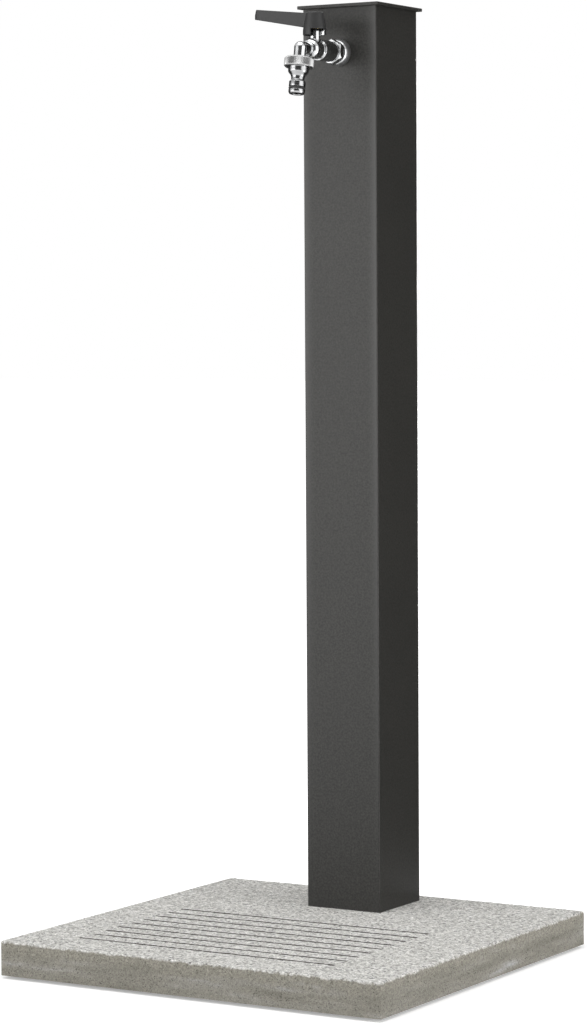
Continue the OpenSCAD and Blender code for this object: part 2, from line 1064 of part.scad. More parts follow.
module hose_connector() {
    color(satin)
        at_spout()
            difference() {
                union() {
                    knurled_ring();
                    rotate_extrude()
                        polygon([
                            [0, ring_high - EPS],
                            [shoulder_r, ring_high - EPS],
                            [shoulder_r, shoulder_high],
                            [plug_neck_r, neck_low],
                            [plug_neck_r, neck_high],
                            [plug_r - 0.3, neck_high + 0.9],
                            [plug_r, neck_high + 1.3],
                            [plug_r, groove_low],
                            [groove_r, groove_low],
                            [groove_r, groove_high],
                            [plug_r, groove_high],
                            [plug_r, tip_high - 1.6],
                            [plug_r - 0.9, tip_high],
                            [0, tip_high]
                        ]);
                }
                rod(thread_r + fit, ring_low - EPS, seal_high);
                rod(plug_bore_r, ring_low, tip_high + EPS);
                translate([0, 0, tip_high - mouth_soft])
                    cylinder(r1 = plug_bore_r, r2 = plug_bore_r + 2 * mouth_soft, h = 2 * mouth_soft);
            }
}

module plug_ring() {
    section = 0.9;
    color(rubber)
        at_spout()
            translate([0, 0, (groove_low + groove_high) / 2])
                rotate_extrude()
                    translate([groove_r + section + fit, 0])
                        circle(r = section);
}

base_slab();
slab_pads();
anchor_bolts();
anchor_washers();
anchor_nuts();
foot_bracket();
tab_nuts();
column_screws();
column();
cap_plate();
cap_insert();
inlet_elbow();
inlet_washer();
inlet_locknut();
riser_pipe();
compression_nuts();
compression_rings();
tap_elbow();
wall_washer();
rosette();
tap_tail();
tap_body();
ball();
ball_seats();
stem();
thrust_washer();
stem_packing();
gland_nut();
lever();
lever_washer();
lever_screw();
lever_cover();
spout_seal();
hose_connector();
plug_ring();
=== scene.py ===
"""Looks of the garden standpipe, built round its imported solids.

The frame is the part's own: its origin lies on the floor under the middle of
the slab, +X is to the right, -Y is the front and +Z is up. Objects are in
metres, and the surfaces of new pieces are worked out in millimetres.
"""

import json
import logging
import math
from collections.abc import Mapping, Sequence
from dataclasses import dataclass
from enum import Enum, IntEnum
from typing import Any

import bmesh
import bpy
import numpy as np
from mathutils import Matrix, Vector


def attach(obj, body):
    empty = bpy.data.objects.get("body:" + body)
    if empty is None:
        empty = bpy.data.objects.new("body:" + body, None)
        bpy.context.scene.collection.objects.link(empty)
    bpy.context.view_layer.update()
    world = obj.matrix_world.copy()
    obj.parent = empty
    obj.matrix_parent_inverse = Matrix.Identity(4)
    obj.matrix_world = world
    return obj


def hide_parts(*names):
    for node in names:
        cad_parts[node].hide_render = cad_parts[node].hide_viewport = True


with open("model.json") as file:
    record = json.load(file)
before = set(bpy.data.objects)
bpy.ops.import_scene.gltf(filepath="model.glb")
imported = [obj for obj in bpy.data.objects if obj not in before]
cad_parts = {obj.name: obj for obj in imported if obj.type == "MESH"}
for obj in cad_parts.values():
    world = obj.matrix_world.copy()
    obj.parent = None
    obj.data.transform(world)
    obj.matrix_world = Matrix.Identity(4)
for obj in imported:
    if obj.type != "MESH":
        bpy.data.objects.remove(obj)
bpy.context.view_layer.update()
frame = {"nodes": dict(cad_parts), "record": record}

MM = 0.001
NEAR = 1e-6
FULL_TURN = 2.0 * math.pi
LOG = logging.getLogger("standpipe")

Array = np.ndarray
Socket = bpy.types.NodeSocket
Colour = tuple[float, float, float]
Place = tuple[float, float, float]
Pair = tuple[float, float]

# Shares of a grey's warmth by which red gains and blue loses
WARM_RED = 0.55
WARM_BLUE = 1.6

# Values between which most of a noise lies, in patches and in fine marks
PATCH_SPAN: Pair = (0.3, 0.7)
MARK_SPAN: Pair = (0.25, 0.75)

# Middle and half width of the column, in millimetres
COLUMN_MIDDLE: Pair = (-6.0, 134.0)
COLUMN_HALF = 40.0


def grey(level: float, warm: float = 0.0) -> Colour:
    """Gives a grey of that level, redder and less blue by the share warm."""
    return (level * (1.0 + WARM_RED * warm), level, level * (1.0 - WARM_BLUE * warm))


def shades(colour: Colour, low: float, high: float) -> tuple[Colour, ...]:
    """Gives a darker and a lighter shade of a colour, neither past white."""
    return tuple(tuple(min(1.0, part * share) for part in colour) for share in (low, high))


# Numbers that look random and are the same in every run


class Seed(IntEnum):
    """Fields of fixed numbers, one for each kind of unevenness."""

    SAND = 1
    GRAVEL = 2
    CRUMBS = 3
    CHIPS = 4
    DENTS = 5


def hashed(cells: Array, seed: int) -> Array:
    """Gives every whole-number cell its own fixed value from 0 to 1.

    The coordinates are multiplied by large odd numbers and added, and the
    bits of the sum are then stirred by shifts and products.

    Args:
        cells: Whole-number coordinates along the last axis.
        seed: Picks one of many such fields.

    Returns:
        One value for each cell.
    """
    odd = np.array([374761393, 668265263, 2246822519], dtype=np.uint32)
    whole = cells.astype(np.int64).astype(np.uint32)
    mixed = (whole * odd[: cells.shape[-1]]).sum(-1, dtype=np.uint32)
    mixed += np.uint32(seed * 40503 + 1)
    for shift, factor in ((15, 2246822519), (13, 3266489917)):
        mixed ^= mixed >> np.uint32(shift)
        mixed *= np.uint32(factor)
    return (mixed ^ (mixed >> np.uint32(16))) / float(2**32 - 1)


def lumps(points: Array, size: float, seed: int) -> Array:
    """Gives smooth noise from 0 to 1 whose lumps are about size across.

    The hashed values at the corners of each cell are blended with weights
    3t^2 - 2t^3 along every axis.

    Args:
        points: Places along the last axis.
        size: Side of one cell.
        seed: Picks one of many such fields.

    Returns:
        One value for each place.
    """
    scaled = points / size
    base = np.floor(scaled)
    share = scaled - base
    weight = share * share * (3.0 - 2.0 * share)
    axes = points.shape[-1]
    total = np.zeros(points.shape[:-1])
    for corner in np.ndindex(*(2,) * axes):
        pick = np.array(corner)
        total += hashed(base + pick, seed) * np.where(pick == 1, weight, 1.0 - weight).prod(-1)
    return total


def ease(value: Array, low: float, high: float) -> Array:
    """Rises from 0 at low to 1 at high as 3t^2 - 2t^3."""
    share = np.clip((value - low) / (high - low), 0.0, 1.0)
    return share * share * (3.0 - 2.0 * share)


# Surfaces


def ruled(breaks: Sequence[float], step: float) -> Array:
    """Gives lines that hit every break and lie at most one step apart.

    Args:
        breaks: Places that must be hit, in any order.
        step: Widest gap between two lines.

    Returns:
        The lines in rising order.
    """
    marks = sorted(set(breaks))
    runs = [
        np.linspace(low, high, max(1, math.ceil((high - low) / step - 1e-9)), endpoint=False)
        for low, high in zip(marks, marks[1:])
    ]
    return np.concatenate([*runs, marks[-1:]])


def lifted(flat: Array, height: float) -> Array:
    """Adds one height to flat places."""
    return np.concatenate([flat, np.full_like(flat[..., :1], height)], axis=-1)


def placed(name: str, data: bpy.types.ID) -> bpy.types.Object:
    """Makes an object of some data and links it to the scene.

    Args:
        name: Name of the object.
        data: Its mesh, lamp or camera.

    Returns:
        The new object, at the origin.
    """
    made = bpy.data.objects.new(name, data)
    bpy.context.scene.collection.objects.link(made)
    return made


class Surface:
    """Collects grids of points and joins them into one mesh."""

    def __init__(self, name: str) -> None:
        """Starts an empty surface under the piece's name.

        Args:
            name: Name of the piece.
        """
        self.name = name
        self.points: list[Array] = []
        self.faces: list[Array] = []
        self.finishes: list[Array] = []
        self.count = 0

    def grid(
        self,
        points: Array,
        round_rows: bool = False,
        keep: Array | None = None,
        finish: Array | None = None,
    ) -> None:
        """Adds quads between neighbours of a grid of points, in millimetres.

        Args:
            points: Grid of places, rows by columns by 3.
            round_rows: Whether each row closes on itself.
            keep: Which cells get a quad, or all of them.
            finish: Number of the finish for each row of cells, or the first.
        """
        rows, columns = points.shape[:2]
        index = np.arange(rows * columns).reshape(rows, columns) + self.count
        if round_rows:
            index = np.concatenate([index, index[:, :1]], axis=1)
        quads = np.stack([index[:-1, :-1], index[:-1, 1:], index[1:, 1:], index[1:, :-1]], axis=-1)
        number = np.zeros(rows - 1, int) if finish is None else finish
        number = np.broadcast_to(number[:, None], quads.shape[:2])
        keep = np.ones(quads.shape[:2], bool) if keep is None else keep
        self.points.append(points.reshape(-1, 3))
        self.faces.append(quads[keep])
        self.finishes.append(number[keep])
        self.count += rows * columns

    def build(self, sharp: float = 40.0, join: float = 1e-6, level: float = 0.0) -> bpy.types.Object:
        """Makes the object: joins doubled points, turns faces outwards, shades it.

        Args:
            sharp: Angle in degrees past which an edge is shaded sharp.
            join: Distance in metres under which two points become one.
            level: Angle in degrees under which neighbouring faces become one.

        Returns:
            The finished object, at the origin.
        """
        mesh = bpy.data.meshes.new(self.name)
        mesh.from_pydata(np.concatenate(self.points) * MM, [], np.concatenate(self.faces).tolist())
        mesh.polygons.foreach_set("material_index", np.concatenate(self.finishes).astype(np.int32))
        work = bmesh.new()
        work.from_mesh(mesh)
        bmesh.ops.remove_doubles(work, verts=work.verts, dist=join)
        bmesh.ops.recalc_face_normals(work, faces=work.faces)
        if level > 0.0:
            angle = math.radians(level)
            bmesh.ops.dissolve_limit(work, angle_limit=angle, verts=work.verts, edges=work.edges)
        work.to_mesh(mesh)
        work.free()
        mesh.shade_smooth()
        mesh.set_sharp_from_angle(angle=math.radians(sharp))
        return placed(self.name, mesh)


def softened(outline: Sequence[Place], steps: int = 5) -> Array:
    """Rounds the corners of a closed outline.

    Each corner B becomes points of the curve (1-s)^2 A + 2 s (1-s) B + s^2 C,
    where A and C lie on the corner's two sides, one reach away from it.

    Args:
        outline: Corners in order, each with its two places and its reach.
        steps: Points on each rounded corner.

    Returns:
        The finer outline, with its first point repeated at the end.
    """
    rows = np.array(outline)
    corner, reach = rows[:, :2], rows[:, 2:]

    def towards(other: Array) -> Array:
        """Gives the points one reach from the corners towards others."""
        gap = other - corner
        return corner + gap * np.minimum(reach / np.linalg.norm(gap, axis=1, keepdims=True), 0.5)

    start = towards(np.roll(corner, 1, axis=0))[:, None]
    end = towards(np.roll(corner, -1, axis=0))[:, None]
    share = np.linspace(0.0, 1.0, steps)[None, :, None]
    curve = (1 - share) ** 2 * start + 2 * share * (1 - share) * corner[:, None] + share**2 * end
    points = curve.reshape(-1, 2)
    return np.concatenate([points, points[:1]])


def angles(start: float, end: float, count: int) -> Array:
    """Gives evenly spread angles in radians, between two in degrees."""
    return np.radians(np.linspace(start, end, count))


def circle(count: int) -> Array:
    """Gives evenly spread angles in radians, once round."""
    return np.linspace(0.0, FULL_TURN, count, endpoint=False)


def spread(section: Array, around: Array) -> tuple[Array, Array, Array]:
    """Spreads a section over angles.

    Args:
        section: Distances along an axis and radii round it, row by row.
        around: Angles in radians.

    Returns:
        Grids of the distances, the radii and the angles.
    """
    distance, angle = np.meshgrid(section[:, 0], around, indexing="ij")
    return distance, np.broadcast_to(section[:, 1:], angle.shape), angle


@dataclass(frozen=True)
class Axis:
    """Line that a turned piece lies round."""

    start: Place
    along: Place

    def turn(self, distance: Array, radius: Array, angle: Array) -> Array:
        """Carries places along and round the axis into space.

        A place is the start, plus its distance times the axis's direction,
        plus its radius times (cos a, sin a) across the axis.

        Args:
            distance: Distances along the axis.
            radius: Distances from the axis.
            angle: Turns round the axis in radians.

        Returns:
            The places, with x, y and z along a new last axis.
        """
        along = np.array(self.along) / np.linalg.norm(self.along)
        side = np.array((1.0, 0.0, 0.0))
        other = np.cross(along, side)
        across = np.cos(angle)[..., None] * side + np.sin(angle)[..., None] * other
        return np.array(self.start) + distance[..., None] * along + radius[..., None] * across

    def spin(self, section: Array, around: Array) -> Array:
        """Carries a section round the axis through some angles."""
        return self.turn(*spread(section, around))


# Finishes


class NodeTree:
    """Adds and links the nodes of one material or world."""

    def __init__(self, owner: bpy.types.Material | bpy.types.World) -> None:
        """Turns the owner's nodes on.

        Args:
            owner: Material or world that gets the nodes.
        """
        owner.use_nodes = True
        self.nodes = owner.node_tree.nodes
        self.links = owner.node_tree.links

    def feed(self, socket: Socket, value: Any) -> None:
        """Links a socket to another one, or sets it to a plain value.

        Args:
            socket: Input to fill.
            value: Socket to link, or a number, colour or vector.
        """
        if isinstance(value, Socket):
            self.links.new(value, socket)
        elif isinstance(value, tuple) and len(value) == 3 and socket.type == "RGBA":
            socket.default_value = (*value, 1.0)
        else:
            socket.default_value = value

    def add(
        self, kind: str, inputs: Mapping[Any, Any] | None = None, **settings: Any
    ) -> bpy.types.Node:
        """Adds one shader node.

        Args:
            kind: Node type without its prefix.
            inputs: Values or sockets for its inputs.
            **settings: Properties of the node.

        Returns:
            The new node.
        """
        node = self.nodes.new(f"ShaderNode{kind}")
        for key, value in settings.items():
            setattr(node, key, value)
        for key, value in (inputs or {}).items():
            self.feed(node.inputs[key], value)
        return node

    def span(self, value: Socket, low: float, high: float, to: Pair = (0.0, 1.0)) -> Socket:
        """Maps low to high onto another span and clamps what lies outside."""
        inputs = {"Value": value, 1: low, 2: high, 3: to[0], 4: to[1]}
        return self.add("MapRange", inputs).outputs["Result"]

    def maths(self, kind: str, first: Any, second: Any = 0.0) -> Socket:
        """Works out one sum of two values."""
        return self.add("Math", {0: first, 1: second}, operation=kind).outputs[0]


class NodeGraph(NodeTree):
    """Adds and links the nodes of one new material."""

    def __init__(self, name: str) -> None:
        """Starts a material with its shader and the piece's own coordinates.

        Args:
            name: Name of the material.
        """
        self.material = bpy.data.materials.new(name)
        super().__init__(self.material)
        self.shader = self.nodes["Principled BSDF"]
        self.place = self.add("TexCoord").outputs["Object"]

    def dress(self, **inputs: Any) -> None:
        """Sets or links the shader's own sockets, named with underscores."""
        for key, value in inputs.items():
            self.feed(self.shader.inputs[key.replace("_", " ")], value)

    def stretched(self, scale: Place) -> Socket:
        """Gives the piece's coordinates scaled along the axes."""
        return self.add("Mapping", {"Vector": self.place, "Scale": scale}).outputs["Vector"]

    def noise(self, size: float, detail: float = 2.0, place: Socket | None = None) -> Socket:
        """Gives noise from 0 to 1 whose lumps are about size across."""
        inputs = {"Vector": place or self.place, "Scale": 1.0 / size, "Detail": detail}
        return self.add("TexNoise", inputs).outputs["Fac"]

    def cells(self, size: float, feature: str = "F1") -> bpy.types.Node:
        """Gives a field of irregular cells about size across."""
        return self.add("TexVoronoi", {"Vector": self.place, "Scale": 1.0 / size}, feature=feature)

    def tones(self, size: float) -> Socket:
        """Gives every cell of such a field its own value from 0 to 1."""
        return self.add("SeparateColor", {0: self.cells(size).outputs["Color"]}).outputs[0]

    def ramp(self, value: Socket, stops: Sequence[tuple[float, Colour]]) -> Socket:
        """Turns a value into a colour by stops along a ramp.

        Args:
            value: Value from 0 to 1.
            stops: Positions and colours, in rising order.

        Returns:
            The colour.
        """
        node = self.add("ValToRGB", {"Fac": value})
        marks = node.color_ramp.elements
        while len(marks) < len(stops):
            marks.new(1.0)
        for mark, (at, colour) in zip(marks, stops):
            mark.position = at
            mark.color = (*colour, 1.0)
        return node.outputs["Color"]

    def mottled(
        self, size: float, detail: float, ends: Sequence[Colour], between: Pair = PATCH_SPAN
    ) -> Socket:
        """Gives a colour that wanders between two, in patches about size across."""
        return self.ramp(self.noise(size, detail), list(zip(between, ends)))

    def ragged(self, value: Socket, size: float, detail: float, reach: float) -> Socket:
        """Moves a value up or down by at most a reach, in patches about size across."""
        wander = self.span(self.noise(size, detail), *PATCH_SPAN, (-reach, reach))
        return self.maths("ADD", value, wander)

    def gloss(self, marks: Socket, roughness: float, less: float, more: float) -> Socket:
        """Lets marks move a roughness down and up."""
        return self.span(marks, *MARK_SPAN, (roughness - less, roughness + more))

    def blend(self, share: Socket | float, first: Any, second: Any, kind: str = "MIX") -> Socket:
        """Blends two colours by a share.

        Args:
            share: Share of the second colour.
            first: First colour.
            second: Second colour.
            kind: Way of blending.

        Returns:
            The blended colour.
        """
        node = self.add("Mix", data_type="RGBA", blend_type=kind)
        for key, value in ((0, share), (6, first), (7, second)):
            self.feed(node.inputs[key], value)
        return node.outputs[2]

    def bump(self, height: Socket, depth: float, below: Socket | None = None) -> Socket:
        """Turns a height from 0 to 1 into a bump of that depth.

        Args:
            height: Height from 0 to 1.
            depth: Depth of the bump in metres.
            below: Normal of a bump that lies under it, if any.

        Returns:
            The bumped normal.
        """
        inputs = {"Height": height, "Distance": depth, "Strength": 1.0}
        if below is not None:
            inputs["Normal"] = below
        return self.add("Bump", inputs).outputs["Normal"]


@dataclass(frozen=True)
class Finish:
    """One finish of the part, named after its record slot or after what it covers."""

    slot: str

    def paint(self, graph: NodeGraph) -> None:
        """Adds the finish's own nodes to a new material."""
        raise NotImplementedError

    def material(self) -> bpy.types.Material:
        """Gives the finish's material and makes it at its first use.

        Returns:
            The material, one for all pieces.
        """
        found = bpy.data.materials.get(f"finish_{self.slot}")
        if found is not None:
            return found
        graph = NodeGraph(f"finish_{self.slot}")
        self.paint(graph)
        return graph.material


@dataclass(frozen=True)
class PowderCoat(Finish):
    """Baked powder paint: matt, finely flecked, with a painted highlight along the edges of front and
    back.
    """

    colour: Colour
    roughness: float
    middle: Pair
    half: float
    top: float
    grain: float = 0.7 * MM
    fleck: float = 1.8 * MM
    cloud: float = 120 * MM
    depth: float = 0.03 * MM
    shade: Pair = (0.5, 1.5)
    spread: Pair = (0.06, 0.08)
    sheen: float = 0.34
    skin: float = 0.35 * MM
    # Painted highlight along the upright edges: its width, power, rise with height, shares and pale
    # tone
    frame: float = 13 * MM
    edge_highlight_power: float = 2.2
    edge_highlight_rise: Pair = (60 * MM, 600 * MM)
    edge_highlight_rise_share: Pair = (0.08, 1.0)
    edge_highlight_tone: Colour = grey(0.062, 0.02)

    def edge_highlight_share(self, graph: NodeGraph) -> Socket:
        """Gives the share of the painted edge highlight.

        It is 0 on the column's faces and rises with a power of the way to the
        upright edges of front and back. It grows with height up to the cap, so the painted highlight
        fades towards the floor.

        Args:
            graph: Material that gets the nodes.

        Returns:
            The share, from 0 to 1.
        """
        place = graph.add("SeparateXYZ", {0: graph.place})
        across, deep = (
            graph.maths("ABSOLUTE", graph.maths("SUBTRACT", place.outputs[key], value))
            for key, value in zip("XY", self.middle)
        )
        way = graph.span(across, self.half - self.frame, self.half)
        share = graph.maths("POWER", way, self.edge_highlight_power)
        rise = graph.span(place.outputs["Z"], *self.edge_highlight_rise, self.edge_highlight_rise_share)
        on_face = graph.maths("GREATER_THAN", deep, self.half - self.skin)
        on_column = graph.maths("LESS_THAN", place.outputs["Z"], self.top)
        for limit in (rise, on_face, on_column):
            share = graph.maths("MULTIPLY", share, limit)
        return share

    def paint(self, graph: NodeGraph) -> None:
        """Mixes flecks, clouds and a painted edge highlight into the colour, and grain into gloss and
        bump.

        Args:
            graph: Material that gets the nodes.
        """
        grain = graph.noise(self.grain, 3.0)
        speck = graph.mottled(self.fleck, 4.0, shades(self.colour, *self.shade))
        tone = graph.mottled(self.cloud, 2.0, (grey(0.9), grey(1.0)))
        face = graph.blend(1.0, speck, tone, "MULTIPLY")
        graph.dress(
            # Painted highlight: a pale tone along the upright edges, stronger higher up
            Base_Color=graph.blend(self.edge_highlight_share(graph), face, self.edge_highlight_tone),
            Roughness=graph.gloss(grain, self.roughness, *self.spread),
            Specular_IOR_Level=self.sheen,
            Normal=graph.bump(grain, self.depth),
        )


@dataclass(frozen=True)
class WashedConcrete(Finish):
    """Concrete with a washed top of small stones and plain cast sides."""

    top: float
    stone: float = 1.7 * MM
    stone_depth: float = 0.5 * MM
    # Spans of a stone's edge distance: from paste to stone, and from foot to top
    stone_edge: Pair = (0.02, 0.10)
    stone_rise: Pair = (0.0, 0.3)
    paste: float = 0.6 * MM
    clump: float = 4 * MM
    clump_span: Pair = (0.3, 0.6)
    smear: float = 11 * MM
    smear_scale: Place = (0.12, 0.12, 1.0)
    rim: float = 2.2 * MM
    sand: float = 0.9 * MM
    pit: float = 0.8 * MM
    pit_depth: float = 0.15 * MM
    wear: float = 2 * MM
    roughness: Pair = (0.78, 0.95)
    sheen: float = 0.3
    # Borders below the top: size and reach of their wander, and where they start and end
    rim_wander: Pair = (9 * MM, 4 * MM)
    rim_drop: Pair = (15 * MM, 5 * MM)
    top_wander: Pair = (5 * MM, 1.2 * MM)
    top_drop: Pair = (2.6 * MM, 0.4 * MM)

    def washed(self, graph: NodeGraph) -> tuple[Socket, Socket]:
        """Makes the washed top.

        Args:
            graph: Material that gets the nodes.

        Returns:
            Its colour, and the height of its stones from 0 to 1.
        """
        tone = graph.tones(self.stone)
        edge = graph.cells(self.stone, "DISTANCE_TO_EDGE").outputs["Distance"]
        stones = graph.ramp(tone, [
            (0.0, grey(0.12, 0.02)),
            (0.1, grey(0.34, 0.02)),
            (0.3, grey(0.66, 0.035)),
            (0.65, grey(0.86, 0.025)),
            (1.0, grey(0.98, 0.015)),
        ])
        paste = graph.mottled(self.paste, 2.0, (grey(0.36, 0.03), grey(0.62, 0.03)))
        clump = graph.mottled(self.clump, 3.0, (grey(0.62), grey(1.0)), self.clump_span)
        colour = graph.blend(graph.span(edge, *self.stone_edge), paste, stones)
        colour = graph.blend(1.0, colour, clump, "MULTIPLY")
        return colour, graph.span(edge, *self.stone_rise)

    def cast(self, graph: NodeGraph, level: Socket) -> Socket:
        """Makes the cast sides: smeared skin below, a sandy rim under the top.

        Args:
            graph: Material that gets the nodes.
            level: Height above the floor.

        Returns:
            The colour of the sides.
        """
        band = graph.noise(self.smear, 3.0, graph.stretched(self.smear_scale))
        skin = graph.ramp(band, [
            (0.28, grey(0.185, 0.1)),
            (0.5, grey(0.245, 0.09)),
            (0.62, grey(0.285, 0.07)),
            (0.76, grey(0.42, 0.01)),
        ])
        rim = graph.mottled(self.rim, 3.0, (grey(0.2, 0.11), grey(0.33, 0.09)))
        size, reach = self.rim_wander
        border = graph.ragged(level, size, 2.0, reach)
        is_rim = graph.span(border, *(self.top - drop for drop in self.rim_drop))
        skin = graph.blend(is_rim, skin, rim)
        sand = graph.ramp(graph.tones(self.sand), [
            (0.0, grey(0.34)),
            (0.1, grey(0.68)),
            (0.6, grey(0.88)),
            (1.0, grey(1.05)),
        ])
        return graph.blend(1.0, skin, sand, "MULTIPLY")

    def paint(self, graph: NodeGraph) -> None:
        """Shows stones where the top was washed and cast skin below it.

        Args:
            graph: Material that gets the nodes.
        """
        stones, height = self.washed(graph)
        level = graph.add("SeparateXYZ", {0: graph.place}).outputs["Z"]
        size, reach = self.top_wander
        border = graph.ragged(level, size, 3.0, reach)
        is_top = graph.span(border, *(self.top - drop for drop in self.top_drop))
        pitted = graph.bump(graph.noise(self.pit, 4.0), self.pit_depth)
        graph.dress(
            Base_Color=graph.blend(is_top, self.cast(graph, level), stones),
            Roughness=graph.span(graph.noise(self.wear), *PATCH_SPAN, self.roughness),
            Specular_IOR_Level=self.sheen,
            Normal=graph.bump(graph.maths("MULTIPLY", height, is_top), self.stone_depth, pitted),
        )


class Grain(Enum):
    """Direction that a metal was worked in."""

    EVEN = (1.0, 1.0, 1.0)
    UPRIGHT = (1.0, 1.0, 0.015)
    TURNED = (1.0, 12.0, 1.0)


@dataclass(frozen=True)
class WorkedMetal(Finish):
    """Bare or plated metal with the marks of its working."""

    colour: Colour
    roughness: float
    spread: float
    grain: Grain = Grain.EVEN
    size: float = 2.0 * MM
    depth: float = 0.004 * MM
    stain: float = 14 * MM
    stain_span: Pair = (0.3, 0.65)
    shade: Pair = (0.9, 1.04)

    def paint(self, graph: NodeGraph) -> None:
        """Lets the marks move the gloss and the bump, and a stain the tone.

        Args:
            graph: Material that gets the nodes.
        """
        marks = graph.noise(self.size, 4.0, graph.stretched(self.grain.value))
        tones = shades(self.colour, *self.shade)
        graph.dress(
            Base_Color=graph.mottled(self.stain, 3.0, tones, self.stain_span),
            Metallic=1.0,
            Roughness=graph.gloss(marks, self.roughness, self.spread, self.spread),
            Normal=graph.bump(marks, self.depth),
        )


@dataclass(frozen=True)
class ZincPlate(Finish):
    """Plated steel with faint crystal patches."""

    colour: Colour
    roughness: Pair = (0.32, 0.5)
    patch: float = 3.5 * MM
    shade: Pair = (0.8, 1.1)
    pit: float = 0.6 * MM
    depth: float = 0.01 * MM

    def paint(self, graph: NodeGraph) -> None:
        """Gives every patch its own tone and gloss.

        Args:
            graph: Material that gets the nodes.
        """
        tone = graph.tones(self.patch)
        dull, bright = shades(self.colour, *self.shade)
        graph.dress(
            Base_Color=graph.ramp(tone, [(0.0, dull), (1.0, bright)]),
            Metallic=1.0,
            Roughness=graph.span(tone, 0.0, 1.0, self.roughness),
            Normal=graph.bump(graph.noise(self.pit, 3.0), self.depth),
        )


@dataclass(frozen=True)
class Moulding(Finish):
    """Moulded plastic or rubber with an even grain."""

    colour: Colour
    roughness: float
    sheen: float = 0.5
    grain: float = 0.45 * MM
    depth: float = 0.02 * MM
    mottle: float = 9 * MM
    shade: Pair = (0.86, 1.12)
    spread: Pair = (0.05, 0.07)

    def paint(self, graph: NodeGraph) -> None:
        """Gives the skin its grain, a faint mottle and a worn sheen.

        Args:
            graph: Material that gets the nodes.
        """
        grain = graph.noise(self.grain, 2.0)
        graph.dress(
            Base_Color=graph.mottled(self.mottle, 3.0, shades(self.colour, *self.shade)),
            Roughness=graph.gloss(grain, self.roughness, *self.spread),
            Specular_IOR_Level=self.sheen,
            Normal=graph.bump(grain, self.depth),
        )


FINISHES: dict[str, Finish] = {
    finish.slot: finish
    for finish in (
        WashedConcrete("concrete", top=35 * MM),
        PowderCoat(
            "anthracite",
            colour=grey(0.0195, 0.07),
            roughness=0.44,
            middle=tuple(place * MM for place in COLUMN_MIDDLE),
            half=COLUMN_HALF * MM,
            top=897.9 * MM,
        ),
        WorkedMetal("chrome", (0.53, 0.535, 0.54), 0.18, 0.03, size=3 * MM, depth=0.002 * MM),
        # Darker copy of the chrome for the plug: painted shade
        WorkedMetal("shaded_plug_chrome", (0.34, 0.342, 0.346), 0.2, 0.04, size=3 * MM, depth=0.002 * MM),
        WorkedMetal("bell_chrome", (0.5, 0.505, 0.51), 0.38, 0.05, size=0.8 * MM),
        WorkedMetal("satin_chrome", (0.4, 0.4, 0.4), 0.34, 0.06, size=0.8 * MM),
        Moulding("black_plastic", colour=grey(0.018), roughness=0.48, sheen=0.375),
        Moulding("rubber", colour=grey(0.022), roughness=0.7, grain=0.3 * MM),
        WorkedMetal("brass", (0.72, 0.53, 0.24), 0.26, 0.08, Grain.TURNED, 1.2 * MM),
        ZincPlate("zinc_steel", colour=(0.58, 0.6, 0.63)),
        WorkedMetal("stainless", (0.6, 0.6, 0.6), 0.28, 0.06, Grain.UPRIGHT, 0.8 * MM),
        Moulding("white_plastic", colour=grey(0.8), roughness=0.45),
        # Dark brown-grey colour on the walls of the slots
        Moulding("dark_slot_wall", colour=(0.05, 0.04, 0.028), roughness=0.9),
    )
}


# Studio


@dataclass
class Viewpoint:
    """Camera of the photograph, solved from the part's own edges."""

    place: Place = (1.5743, -2.6377, 0.5935)
    yaw: float = 30.883
    pitch: float = 3.1712
    roll: float = -0.3278
    focal_pixels: float = 3303.3
    image_height: float = 1024.0
    sensor: float = 36.0
    clip: Pair = (0.05, 100.0)

    def build(self) -> bpy.types.Object:
        """Makes the scene's camera.

        Returns:
            The camera, looking level along its yaw and down by its pitch.
        """
        yaw, pitch, roll = (math.radians(angle) for angle in (self.yaw, self.pitch, self.roll))
        flat = math.cos(pitch)
        forward = Vector((-math.sin(yaw) * flat, math.cos(yaw) * flat, -math.sin(pitch)))
        level = Vector((math.cos(yaw), math.sin(yaw), 0.0))
        above = level.cross(forward)
        right = level * math.cos(roll) + above * math.sin(roll)
        up = above * math.cos(roll) - level * math.sin(roll)
        data = bpy.data.cameras.new("viewpoint")
        data.sensor_width = self.sensor
        data.lens = self.sensor * self.focal_pixels / self.image_height
        data.clip_start, data.clip_end = self.clip
        camera = placed("viewpoint", data)
        turn = Matrix((right, up, -forward)).transposed().to_4x4()
        camera.matrix_world = Matrix.Translation(self.place) @ turn
        bpy.context.scene.camera = camera
        return camera


@dataclass(frozen=True)
class Softbox:
    """One soft lamp that faces a point of the object."""

    name: str
    place: Place
    aim: Place
    size: Pair
    watts: float
    spread: float = 180.0

    def build(self) -> bpy.types.Object:
        """Makes the lamp as a rectangle turned to its aim.

        Returns:
            The lamp.
        """
        data = bpy.data.lights.new(self.name, "AREA")
        data.shape = "RECTANGLE"
        data.size, data.size_y = self.size
        data.energy = self.watts
        data.spread = math.radians(self.spread)
        lamp = placed(self.name, data)
        lamp.location = self.place
        sight = Vector(self.aim) - Vector(self.place)
        lamp.rotation_euler = sight.to_track_quat("-Z", "Y").to_euler()
        return lamp


